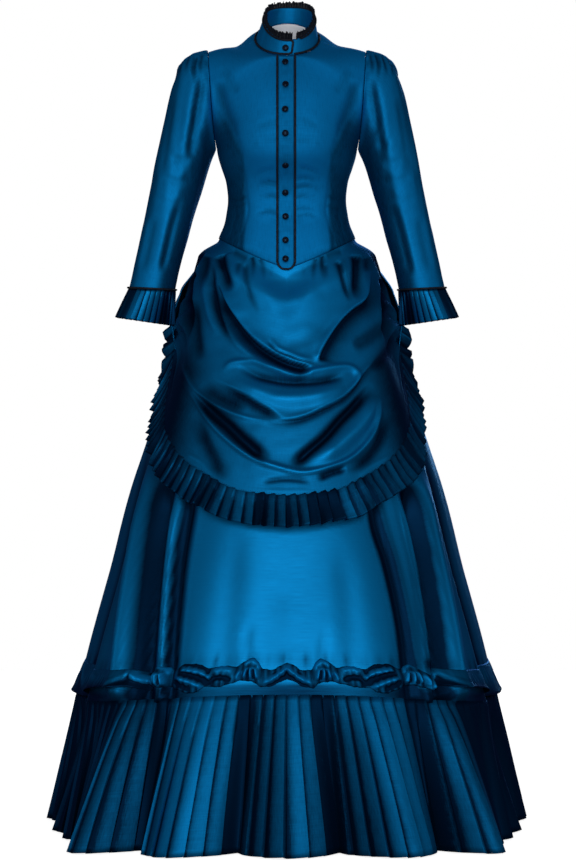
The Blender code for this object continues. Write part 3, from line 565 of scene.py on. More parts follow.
class ClothGrid:
    """Rows and columns of points on a cloth's outer face."""

    def __init__(self, points: Points, inside: tuple[float, float, float], closed: bool = False) -> None:
        """Keep the points and find which way is out.

        Args:
            points: Rows by columns by 3.
            inside: A point on the inner side of the cloth.
            closed: Whether the last column joins the first.
        """
        self.points = np.asarray(points, float)
        self.closed = closed
        # Painted shade for the satin's colour; negative values paint highlights.
        self.painted_shade = np.zeros(self.points.shape[:2])
        self.dense = np.zeros(self.points.shape[:2])
        self.calm = np.zeros(self.points.shape[:2])
        self.sign = 1.0
        if np.sum(self.normals() * (self.points - np.asarray(inside))) < 0:
            self.sign = -1.0

    def normals(self) -> Points:
        """Return the way out of the cloth at each point."""
        if self.closed:
            across = np.roll(self.points, -1, axis=1) - np.roll(self.points, 1, axis=1)
        else:
            across = np.gradient(self.points, axis=1)
        return unit(np.cross(across, np.gradient(self.points, axis=0))) * self.sign

    def push(self, lift: Points, shade: float = 0.0) -> "ClothGrid":
        """Move every point out by its lift, and paint shade into troughs.

        Args:
            lift: Metres outwards for each point.
            shade: Depth of trough, in metres, that gets full painted shade; 0 paints none.

        Returns:
            The same grid.
        """
        self.points = self.points + self.normals() * lift[..., None]
        if shade:
            self.painted_shade = np.clip(self.painted_shade + np.clip(-lift / shade, 0, 1), 0, 1)
        return self

    def cut(self) -> tuple[float, float, float]:
        """Return the width, length and area that this cloth has when laid flat."""
        points = np.concatenate([self.points, self.points[:, :1]], axis=1) if self.closed else self.points
        across = np.linalg.norm(np.diff(points, axis=1), axis=2)
        down = np.linalg.norm(np.diff(points, axis=0), axis=2)
        faces = np.cross(points[1:, 1:] - points[:-1, :-1], points[1:, :-1] - points[:-1, 1:])
        area = float(np.linalg.norm(faces, axis=2).sum() / 2)
        return float(across.sum(axis=1).max()), float(down.sum(axis=0).max()), area

    def build(self, name: str, finish: Finish, wall: float = CLOTH) -> bpy.types.Object:
        """Make the cloth an object with a wall, a map in metres and its attributes: painted shade, gauze
        density and calm.

        Args:
            name: The piece's name.
            finish: Its material.
            wall: Thickness, laid inwards; 0 leaves the bare sheet.

        Returns:
            The object, linked to the scene.
        """
        rows, columns = self.points.shape[:2]
        spans = columns if self.closed else columns - 1
        row, column = (grid.ravel() for grid in np.meshgrid(np.arange(rows - 1), np.arange(spans),
                                                            indexing="ij"))
        corners = np.stack([np.stack([row, column], -1), np.stack([row, column + 1], -1),
                            np.stack([row + 1, column + 1], -1), np.stack([row + 1, column], -1)], axis=1)
        first = self.points[row, column]
        facing = np.cross(self.points[row, (column + 1) % columns] - first,
                          self.points[row + 1, column] - first)
        if np.sum(facing * self.normals()[row, column]) < 0:
            corners = corners[:, ::-1]
        faces = corners[..., 0] * columns + corners[..., 1] % columns
        mesh = bpy.data.meshes.new(name)
        mesh.from_pydata(self.points.reshape(-1, 3).tolist(), [], faces.tolist())
        closed = np.concatenate([self.points, self.points[:, :1]], axis=1) if self.closed else self.points
        widths = np.linalg.norm(np.diff(closed, axis=1), axis=2).mean(axis=0)
        across = np.concatenate([[0], np.cumsum(widths)])
        down = np.concatenate([[0], np.cumsum(np.linalg.norm(np.diff(closed, axis=0), axis=2).mean(axis=1))])
        layer = mesh.uv_layers.new(name="cloth")
        places = np.stack([across[corners[..., 1]], down[corners[..., 0]]], axis=-1)
        layer.data.foreach_set("uv", places.astype(np.float32).ravel())
        for label, values in (("painted_shade", self.painted_shade), ("dense", self.dense), ("calm", self.calm)):
            stored = mesh.attributes.new(label, "FLOAT", "POINT")
            stored.data.foreach_set("value", values.astype(np.float32).ravel())
        mesh.shade_smooth()
        piece = bpy.data.objects.new(name, mesh)
        bpy.context.scene.collection.objects.link(piece)
        mesh.materials.append(finish.material())
        if wall:
            solidify = piece.modifiers.new("wall", "SOLIDIFY")
            solidify.thickness = wall
            solidify.offset = -1.0
        return piece


class Held(Enum):
    """How a cloth is held, in the frame's own words."""

    DRAPED = "draped"
    GATHERED = "gathered"
    HUNG = "hung"
    STRETCHED = "stretched"


class Workroom:
    """Puts finished pieces on the frame, and keeps their list."""

    def __init__(self) -> None:
        """Start with no pieces."""
        self.made: list[str] = []

    def fit(self, piece: bpy.types.Object, finish: Finish, nodes: Sequence[str] = ()) -> bpy.types.Object:
        """Let a piece ride on the dress and stand for its solids.

        Args:
            piece: The finished object.
            finish: The finish that it wears; not used.
            nodes: Solids of the frame that it replaces.

        Returns:
            The piece.
        """
        if nodes:
            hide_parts(*nodes)
        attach(piece, "root")
        self.made.append(piece.name)
        LOG.info("%s: %d faces", piece.name, len(piece.data.polygons))
        return piece

    def cloth(self, grid: ClothGrid, name: str, finish: Finish, held: Held, nodes: Sequence[str] = (),
              rests_on: Sequence[str] = (), wall: float = CLOTH) -> bpy.types.Object:
        """Build a cloth, fit it and state its cut.

        Args:
            grid: The cloth's outer face.
            name: The piece's name.
            finish: Its finish.
            held: How it is held; not used.
            nodes: Solids that it replaces.
            rests_on: Pieces or solids that carry it; not used.
            wall: Its thickness.

        Returns:
            The piece.
        """
        piece = self.fit(grid.build(name, finish, wall), finish, nodes)
        self.declare(piece, grid.cut(), held, rests_on)
        return piece

    def declare(self, piece: bpy.types.Object, cut: tuple[float, float, float], held: Held,
                rests_on: Sequence[str]) -> None:
        """State a cloth's cut: its width, length and flat area."""
        width, length, area = cut
        area = max(area, 0.31 * width * length)
        min(area, width * length * 0.999) * 0.999
        LOG.info("%s cut %.3f x %.3f m, %.3f m2", piece.name, width, length, area)


# ---------------------------------------------------------------- forms of the body

@dataclass(frozen=True)
class BodiceForm:
    """The close form of the bodice: rings below the underarm, a yoke of curves above it."""

    basque_point: float = -0.426
    basque_side: float = -0.368
    basque_back: float = -0.330
    bust_x: float = 0.074
    bust_z: float = -0.200
    bust_out: float = 0.009

    # height, half width, front depth, back depth
    RINGS = np.array((
        (-0.202, 0.1300, 0.130, 0.104), (-0.220, 0.1265, 0.125, 0.101), (-0.238, 0.1210, 0.114, 0.097),
        (-0.267, 0.1120, 0.096, 0.089), (-0.297, 0.1090, 0.088, 0.086), (-0.326, 0.1125, 0.091, 0.088),
        (-0.341, 0.1155, 0.095, 0.093), (-0.356, 0.1215, 0.100, 0.100), (-0.400, 0.1430, 0.111, 0.125),
        (-0.440, 0.1600, 0.119, 0.150)))
    # height, front depth, back depth
    CENTRE = np.array((
        (0.032, 0.070, 0.055), (0.000, 0.072, 0.068), (-0.037, 0.075, 0.084), (-0.055, 0.084, 0.091),
        (-0.080, 0.098, 0.099), (-0.110, 0.112, 0.105), (-0.140, 0.122, 0.109), (-0.170, 0.129, 0.108),
        (-0.202, 0.130, 0.104)))

    def hem(self, angle: Points) -> Points:
        """Return the height of the bodice's hem at each angle."""
        turn = np.radians(angle)
        side = np.abs(np.sin(turn))
        centre = np.where(np.cos(turn) > 0, self.basque_point, self.basque_back)
        return mix(centre, self.basque_side, side)

    def around(self, angle: Points, height: Points, inside: float = 0.0) -> Points:
        """Return points on the form below the underarm, or this far inside it."""
        turn = np.radians(angle)
        rings = self.RINGS
        wide = Profile(rings[:, 0], rings[:, 1])(height)
        ahead, behind = Profile(rings[:, 0], rings[:, 2])(height), Profile(rings[:, 0], rings[:, 3])(height)
        depth = np.where(np.cos(turn) > 0, ahead, behind)
        points = stack(wide * np.sin(turn), -depth * np.cos(turn), height)
        out = unit(points * np.array((1.0, 1.0, 0.0)))
        return self.bust(points) - out * inside

    def bust(self, points: Points) -> Points:
        """Return points with the front thrown out into one broad bust by the darts."""
        across = np.exp(-((np.abs(points[..., 0]) - self.bust_x) / 0.040) ** 2)
        up = np.exp(-((points[..., 2] - self.bust_z) / 0.050) ** 2)
        lift = self.bust_out * across * up * ease(-points[..., 1] / 0.05)
        return points - lift[..., None] * np.array((0.0, 1.0, 0.0))

    def yoke(self, share: float, steps: Points, front: bool) -> Points:
        """Return a row above the underarm, from the centre or neckline to the armhole or shoulder.

        Args:
            share: 0 at the underarm, 1 at the shoulder seam.
            steps: Places along the row, from 0 to 1.
            front: Whether the row is on the front.

        Returns:
            One point for each step, on the wearer's left.
        """
        way = -1 if front else 1
        line = Profile(self.CENTRE[:, 0], self.CENTRE[:, 1 if front else 2])
        if share <= 0.5:
            height = mix(UNDERARM, NECK.front if front else NECK.back, share / 0.5)
            first = np.array((0.0, way * float(line(height)), height))
            lean = 0.0
        else:
            turn = 90 * (share - 0.5) / 0.5
            first = NECK.line(np.array(turn if front else 180 - turn))
            lean = way * 0.10 * math.sin(math.radians(2 * turn))
        last = armhole(np.array(180 * share if front else 360 - 180 * share))
        width = last[0] - first[0]
        arrive = math.radians(90 * (1 - share) ** 1.3)
        leave_length = width * mix(0.5523, 0.34, ease(share))
        arrive_length = mix(0.5523 * float(line(UNDERARM)), 0.34 * width, ease(share ** 0.6))
        near_seam = ease((share - 0.5) / 0.5)
        rise = mix((first[2] - last[2]) * 0.40, 0.342 * arrive_length, near_seam)
        lean_out = first + np.array((leave_length, lean * leave_length, -0.342 * near_seam * leave_length))
        lean_in = last + np.array((-arrive_length * math.cos(arrive), way * arrive_length * math.sin(arrive),
                                   rise))
        t = steps[:, None]
        return self.bust(first * (1 - t) ** 3 + lean_out * (3 * t * (1 - t) ** 2)
                         + lean_in * (3 * t * t * (1 - t)) + last * t ** 3)

    def panel(self, front: bool, below: int, above: int, columns: int) -> Points:
        """Return half of the front or back on the wearer's left, from the hem up.

        Args:
            front: Whether it is a front.
            below: Rows from the hem to the underarm.
            above: Rows from there to the shoulder.
            columns: Steps from the centre to the side.

        Returns:
            Rows by columns by 3, clear of the seams around it.
        """
        steps = np.linspace(0, 1, columns + 1)
        angle = 90 * steps if front else 180 - 90 * steps
        share = np.linspace(0, 1, below, endpoint=False)[:, None]
        lower = self.around(np.broadcast_to(angle, (below, columns + 1)),
                            mix(self.hem(angle), UNDERARM, share))
        upper = np.stack([self.yoke(share, steps, front) for share in np.linspace(0, 1, above + 1)])
        side = np.array((0.0, -SEAM / 2 if front else SEAM / 2, 0.0))
        lower[:, -1] += side
        upper[:, -1] -= np.array((SEAM, 0.0, 0.0))
        upper[-1] += side
        grid = np.concatenate([lower, upper])
        centred = grid[:, 0, 0] < 0.5 * SEAM
        grid[centred, 0, 0] = SEAM / 2
        return grid


@dataclass(frozen=True)
class NeckForm:
    """The neckline and the stand collar above it."""

    front: float = -0.037
    back: float = 0.032
    half_width: float = 0.0575
    half_depth: float = 0.065
    centre: float = -0.010
    height: float = 0.029
    top_half_width: float = 0.0528
    top_half_depth: float = 0.062
    top_centre: float = -0.012
    lap: float = 0.0024
    gap: float = 0.0004
    start: float = -3.0
    end: float = 369.0
    taper: float = 0.0055
    askew: float = 0.0045
    curve: float = 1.06
    side_height: float = 0.010

    def line(self, angle: Points) -> Points:
        """Return the neckline at each angle."""
        turn = np.radians(angle)
        rise = ((1 - np.cos(turn)) / 2) ** self.curve
        return stack(self.half_width * np.sin(turn), self.centre - self.half_depth * np.cos(turn),
                     mix(self.front, self.back, rise))

    def collar(self, angle: Points, up: Points | float, out: Points | float = 0.0) -> Points:
        """Return the collar's outer face, or points this far out from it."""
        turn = np.radians(angle)
        low = self.line(angle)
        high = stack(self.askew + self.top_half_width * np.sin(turn),
                     self.top_centre - self.top_half_depth * np.cos(turn),
                     low[..., 2] + self.height + self.side_height * np.sin(turn) ** 2)
        share = np.broadcast_to(up, low.shape[:-1])[..., None]
        way = stack(np.sin(turn), -np.cos(turn), 0.0)
        away = np.broadcast_to(self.lap * ease((angle - 300) / 50) + out, low.shape[:-1])[..., None]
        taper = stack(self.taper * np.sin(turn) * np.abs(np.sin(turn)), 0.0, 0.0) * share
        return mix(low, high, share) + way * away - taper + np.array((0.0, 0.0, self.gap))


NECK = NeckForm()
BODICE = BodiceForm()


def armhole(turn: Points) -> Points:
    """Return the left armhole: 0 at the underarm, forward, 180 at the shoulder, then back."""
    turn = np.radians(turn)
    up = (1 - np.cos(turn)) / 2
    depth = np.where(np.sin(turn) > 0, 0.062, 0.058)
    return stack(mix(0.130, 0.145, up ** 0.7), -depth * signed_power(np.sin(turn), 0.9),
                 mix(UNDERARM, -0.0244, up))


def mirrored(points: Points) -> Points:
    """Return points on the other side of the dress."""
    return points * np.array((-1.0, 1.0, 1.0))


# ---------------------------------------------------------------- what follows a path or repeats

class Tool:
    """A Geometry Nodes tree that is built once and run on a carrier mesh, then set as plain mesh."""

    name: str
    sockets: Sequence[tuple[str, str, object]]

    def tree(self) -> bpy.types.NodeTree:
        """Return the tree, made on first use."""
        made = bpy.data.node_groups.get(self.name)
        if made is None:
            made = bpy.data.node_groups.new(self.name, "GeometryNodeTree")
            made.interface.new_socket("Geometry", in_out="INPUT", socket_type="NodeSocketGeometry")
            made.interface.new_socket("Geometry", in_out="OUTPUT", socket_type="NodeSocketGeometry")
            for label, kind, default in self.sockets:
                socket = made.interface.new_socket(label, in_out="INPUT", socket_type=kind)
                if default is not None:
                    socket.default_value = default
            made.interface.new_socket("Material", in_out="INPUT", socket_type="NodeSocketMaterial")
            graph = Graph(made)
            entry = graph.node("NodeGroupInput")
            given = {socket.name: Val(graph, socket) for socket in entry.outputs if socket.name}
            shaped = self.wire(graph, given)
            joined = graph.value("GeometryNodeRealizeInstances", None, {"Geometry": shaped})
            dressed = graph.value("GeometryNodeSetMaterial", None,
                                  {"Geometry": joined, "Material": given["Material"]})
            graph.node("NodeGroupOutput", None, {"Geometry": dressed})
        return made

    def wire(self, graph: Graph, given: Mapping[str, Val]) -> Val:
        """Return the shaped geometry from the carrier and the named inputs."""
        raise NotImplementedError

    def run(self, carrier: bpy.types.Object, finish: Finish,
            values: Mapping[str, object]) -> bpy.types.Object:
        """Run the tree on an object and keep the result as its plain mesh.

        Args:
            carrier: The object, linked to the scene.
            finish: The material that the result wears.
            values: Values for the tree's named inputs.

        Returns:
            The same object.
        """
        tree = self.tree()
        modifier = carrier.modifiers.new(self.name, "NODES")
        modifier.node_group = tree
        ids = {item.name: item.identifier for item in tree.interface.items_tree
               if item.item_type == "SOCKET" and item.in_out == "INPUT"}
        for label, value in {**values, "Material": finish.material()}.items():
            modifier[ids[label]] = value
        bpy.context.view_layer.update()
        graph = bpy.context.evaluated_depsgraph_get()
        mesh = bpy.data.meshes.new_from_object(carrier.evaluated_get(graph))
        carrier.modifiers.remove(modifier)
        old = carrier.data
        carrier.data = mesh
        bpy.data.meshes.remove(old)
        mesh.name = carrier.name
        return carrier


def carrier(name: str, points: Points, closed: bool = False,
            facing: Points | None = None) -> bpy.types.Object:
    """Return an object whose mesh is a row of points, joined by edges.

    Args:
        name: The piece's name.
        points: Count by 3.
        closed: Whether the last point joins the first.
        facing: A direction for each point, stored by that name.
    """
    mesh = bpy.data.meshes.new(name)
    edges = [(i, i + 1) for i in range(len(points) - 1)] + ([(len(points) - 1, 0)] if closed else [])
    mesh.from_pydata(np.asarray(points).tolist(), edges, [])
    if facing is not None:
        stored = mesh.attributes.new("facing", "FLOAT_VECTOR", "POINT")
        stored.data.foreach_set("vector", np.asarray(facing, np.float32).ravel())
    piece = bpy.data.objects.new(name, mesh)
    bpy.context.scene.collection.objects.link(piece)
    return piece


class PipingTool(Tool):
    """Covers a route with a cord of a given radius."""

    name = "piping"
    sockets = (("Radius", "NodeSocketFloat", 0.0019), ("Step", "NodeSocketFloat", 0.002))

    def wire(self, graph: Graph, given: Mapping[str, Val]) -> Val:
        """Return the cord along the carrier's edges."""
        line = graph.value("GeometryNodeMeshToCurve", None, {"Mesh": given["Geometry"]})
        even = graph.value("GeometryNodeResampleCurve", {"mode": "LENGTH"},
                           {"Curve": line, "Length": given["Step"]})
        ring = graph.value("GeometryNodeCurvePrimitiveCircle", {"mode": "RADIUS"}, {
            "Resolution": 10, "Radius": given["Radius"]})
        tube = graph.value("GeometryNodeCurveToMesh", None,
                           {"Curve": even, "Profile Curve": ring, "Fill Caps": True})
        return graph.value("GeometryNodeSetShadeSmooth", None, {"Geometry": tube})


class StitchTool(Tool):
    """Lays even thread stitches along a route."""

    name = "stitches"
    sockets = (("Pitch", "NodeSocketFloat", 0.0032), ("Thread", "NodeSocketFloat", 0.00030))

    def wire(self, graph: Graph, given: Mapping[str, Val]) -> Val:
        """Return one small capsule of thread at each pitch."""
        line = graph.value("GeometryNodeMeshToCurve", None, {"Mesh": given["Geometry"]})
        spots = graph.node("GeometryNodeCurveToPoints", {"mode": "LENGTH"},
                           {"Curve": line, "Length": given["Pitch"]})
        grain = graph.value("GeometryNodeMeshIcoSphere", None, {"Radius": given["Thread"], "Subdivisions": 1})
        turn = graph.value("FunctionNodeAlignRotationToVector", {"axis": "X"}, {
            "Vector": Val(graph, spots.outputs["Tangent"])})
        length = given["Pitch"] / given["Thread"] * 0.32
        size = graph.value("ShaderNodeCombineXYZ", None, {0: length, 1: 1.0, 2: 1.0})
        return graph.value("GeometryNodeInstanceOnPoints", None, {
            "Points": Val(graph, spots.outputs["Points"]), "Instance": grain, "Rotation": turn,
            "Scale": size})


class ButtonTool(Tool):
    """Sets a round shank button on each point of the carrier, facing the way stored there."""

    name = "shank_buttons"
    sockets = (("Radius", "NodeSocketFloat", 0.0060), ("Shank", "NodeSocketFloat", 0.0026))

    def wire(self, graph: Graph, given: Mapping[str, Val]) -> Val:
        """Return a domed head with a raised rim, on its shank, at each point."""
        radius, shank = given["Radius"], given["Shank"]
        head = graph.value("GeometryNodeMeshUVSphere", None, {"Segments": 28, "Rings": 14, "Radius": radius})
        head_size = graph.value("ShaderNodeCombineXYZ", None, {0: 1.0, 1: 1.0, 2: 0.50})
        head_place = graph.value("ShaderNodeCombineXYZ", None, {0: 0.0, 1: 0.0, 2: shank + radius * 0.50})
        head = graph.value("GeometryNodeTransform", None, {
            "Geometry": head, "Translation": head_place, "Scale": head_size})
        ring = graph.value("GeometryNodeCurvePrimitiveCircle", {"mode": "RADIUS"}, {
            "Resolution": 28, "Radius": radius * 0.58})
        bead = graph.value("GeometryNodeCurvePrimitiveCircle", {"mode": "RADIUS"}, {
            "Resolution": 8, "Radius": radius * 0.085})
        rim = graph.value("GeometryNodeCurveToMesh", None, {"Curve": ring, "Profile Curve": bead})
        rim_place = graph.value("ShaderNodeCombineXYZ", None, {0: 0.0, 1: 0.0, 2: shank + radius * 0.90})
        rim = graph.value("GeometryNodeTransform", None, {"Geometry": rim, "Translation": rim_place})
        stem = graph.value("GeometryNodeMeshCylinder", None, {
            "Vertices": 12, "Radius": radius * 0.30, "Depth": shank + radius * 0.3}, "Mesh")
        stem_place = graph.value("ShaderNodeCombineXYZ", None,
                                 {0: 0.0, 1: 0.0, 2: (shank + radius * 0.3) / 2})
        stem = graph.value("GeometryNodeTransform", None, {"Geometry": stem, "Translation": stem_place})
        joined = graph.node("GeometryNodeJoinGeometry")
        for part in (head, rim, stem):
            graph.tree.links.new(part.socket, joined.inputs[0])
        smooth = graph.value("GeometryNodeSetShadeSmooth", None, {"Geometry": Val(graph, joined.outputs[0])})
        facing = graph.value("GeometryNodeInputNamedAttribute", {"data_type": "FLOAT_VECTOR"},
                             {"Name": "facing"})
        turn = graph.value("FunctionNodeAlignRotationToVector", {"axis": "Z"}, {"Vector": facing})
        spots = graph.value("GeometryNodeMeshToPoints", None, {"Mesh": given["Geometry"]})
        return graph.value("GeometryNodeInstanceOnPoints", None, {
            "Points": spots, "Instance": smooth, "Rotation": turn})


class PleatTool(Tool):
    """Lays knife pleats into a strip whose points know their place along it and their drop, and paints shade
    into them.
    """

    name = "knife_pleats"
    sockets = (("Pleats", "NodeSocketFloat", 36.0), ("Depth", "NodeSocketFloat", 0.006),
               ("Head", "NodeSocketFloat", 0.15), ("Flare", "NodeSocketFloat", 0.002),
               ("Overlap", "NodeSocketFloat", 0.003), ("Ridge", "NodeSocketFloat", 0.78),
               ("Unevenness", "NodeSocketFloat", 0.25), ("Seed", "NodeSocketFloat", 1.0))

    def wire(self, graph: Graph, given: Mapping[str, Val]) -> Val:
        """Return the strip with each pleat raised to its fold and drawn over the next, with painted shade
        near each fold line and on random pleats.
        """
        place = graph.value("GeometryNodeInputNamedAttribute", {"data_type": "FLOAT"}, {"Name": "place"})
        drop = graph.value("GeometryNodeInputNamedAttribute", {"data_type": "FLOAT"}, {"Name": "drop"})
        out = graph.value("GeometryNodeInputNamedAttribute", {"data_type": "FLOAT_VECTOR"}, {"Name": "out"})
        run = graph.value("GeometryNodeInputNamedAttribute", {"data_type": "FLOAT_VECTOR"}, {"Name": "run"})
        counted = place * given["Pleats"]
        pleat = (counted + 0.0001).floor()
        part = (counted - pleat).most(0.0)
        chance = graph.value("ShaderNodeTexWhiteNoise", {"noise_dimensions": "2D"}, {
            "Vector": graph.value("ShaderNodeCombineXYZ", None, {0: pleat, 1: given["Seed"], 2: 0.0})},
            "Value")
        sway = graph.value("ShaderNodeTexNoise", {"noise_dimensions": "2D"}, {
            "Vector": graph.value("ShaderNodeCombineXYZ", None,
                                  {0: counted * 0.37, 1: drop * 1.3 + given["Seed"], 2: 0.0}),
            "Scale": 1.0, "Detail": 1.0}, "Fac")
        rise = (part / given["Ridge"]).least(1.0)
        fall = ((1.0 - part) / (1.0 - given["Ridge"])).least(1.0)
        fold = (rise ** 0.8).least(fall)
        opened = given["Head"] + (1.0 - given["Head"]) * drop
        uneven = 1.0 + given["Unevenness"] * (chance - 0.5) * 2.0
        full = graph.value("GeometryNodeInputNamedAttribute", {"data_type": "FLOAT"}, {"Name": "full"})
        lift = (fold * given["Depth"] * opened * uneven + given["Flare"] * drop * (sway - 0.5)) * full
        swing = (sway - 0.5) * given["Unevenness"] * given["Overlap"] * drop * 2.0
        shift = fold * given["Overlap"] * opened + swing
        move = graph.vector("ADD", graph.vector("SCALE", out, None, lift),
                            graph.vector("SCALE", run, None, shift))
        moved = graph.value("GeometryNodeSetPosition", None, {"Geometry": given["Geometry"], "Offset": move})
        # Painted shade: the strip's own, more on random pleats as if turned from the light, and deep near
        # each pleat's closed fold.
        kept = graph.value("GeometryNodeInputNamedAttribute", {"data_type": "FLOAT"}, {"Name": "painted_shade"})
        closed = 1.0 - fold
        turned = chance * chance * 0.34
        shade = (kept + turned + closed ** 2.6 * 0.85 * (0.45 + 0.55 * opened)
                 * (1.0 - 0.5 * kept)).least(1.0)
        return graph.value("GeometryNodeStoreNamedAttribute", {"data_type": "FLOAT", "domain": "POINT"}, {
            "Geometry": moved, "Name": "painted_shade", "Value": shade})


PIPING, STITCHES, BUTTONS, PLEATS = PipingTool(), StitchTool(), ButtonTool(), PleatTool()


@dataclass(frozen=True)
class Pleating:
    """How a strip is pleated; lengths are in metres."""

    count: int
    depth: float
    overlap: float
    head: float = 0.12
    flare: float = 0.003
    ridge: float = 0.78
    uneven: float = 0.22
    seed: float = 1.0

    def lay(self, grid: ClothGrid, name: str, finish: Finish, wall: float = FRILL_CLOTH,
            fullness: Points | float = 1.0) -> bpy.types.Object:
        """Build a grid and pleat it.

        Args:
            grid: Rows from the head of the strip down to its free edge.
            name: The piece's name.
            finish: Its finish.
            wall: Its thickness.
            fullness: Share of the pleats' depth that each column keeps.

        Returns:
            The pleated piece.
        """
        piece = grid.build(name, finish, 0.0)
        rows, columns = grid.points.shape[:2]
        run = unit(np.gradient(grid.points, axis=1))
        share = np.linspace(0, 1, columns + 1)[:-1] if grid.closed else np.linspace(0, 1, columns)
        for label, values in (("place", np.broadcast_to(share, (rows, columns))),
                              ("drop", np.broadcast_to(np.linspace(0, 1, rows)[:, None], (rows, columns))),
                              ("full", np.broadcast_to(fullness, (rows, columns)))):
            stored = piece.data.attributes.new(label, "FLOAT", "POINT")
            stored.data.foreach_set("value", values.astype(np.float32).ravel())
        for label, values in (("out", grid.normals()), ("run", run)):
            stored = piece.data.attributes.new(label, "FLOAT_VECTOR", "POINT")
            stored.data.foreach_set("vector", values.astype(np.float32).ravel())
        PLEATS.run(piece, finish, {"Pleats": float(self.count), "Depth": self.depth, "Head": self.head,
                                   "Flare": self.flare, "Overlap": self.overlap, "Ridge": self.ridge,
                                   "Unevenness": self.uneven, "Seed": self.seed})
        piece.data.set_sharp_from_angle(angle=math.radians(50))
        if wall:
            solidify = piece.modifiers.new("wall", "SOLIDIFY")
            solidify.thickness = wall
            solidify.offset = -1.0
        return piece

    def cut(self, grid: ClothGrid) -> tuple[float, float, float]:
        """Return the width, length and area of the strip laid flat, its pleats let out."""
        width, length, area = grid.cut()
        pitch = width / self.count
        rise, fall = self.ridge * pitch + self.overlap, (1 - self.ridge) * pitch - self.overlap
        opened = 0.5 * (1 + self.head)
        spread = (math.hypot(rise, self.depth * opened) + math.hypot(fall, self.depth * opened)) / pitch
        return width * spread, length, area * spread


# ---------------------------------------------------------------- bodice

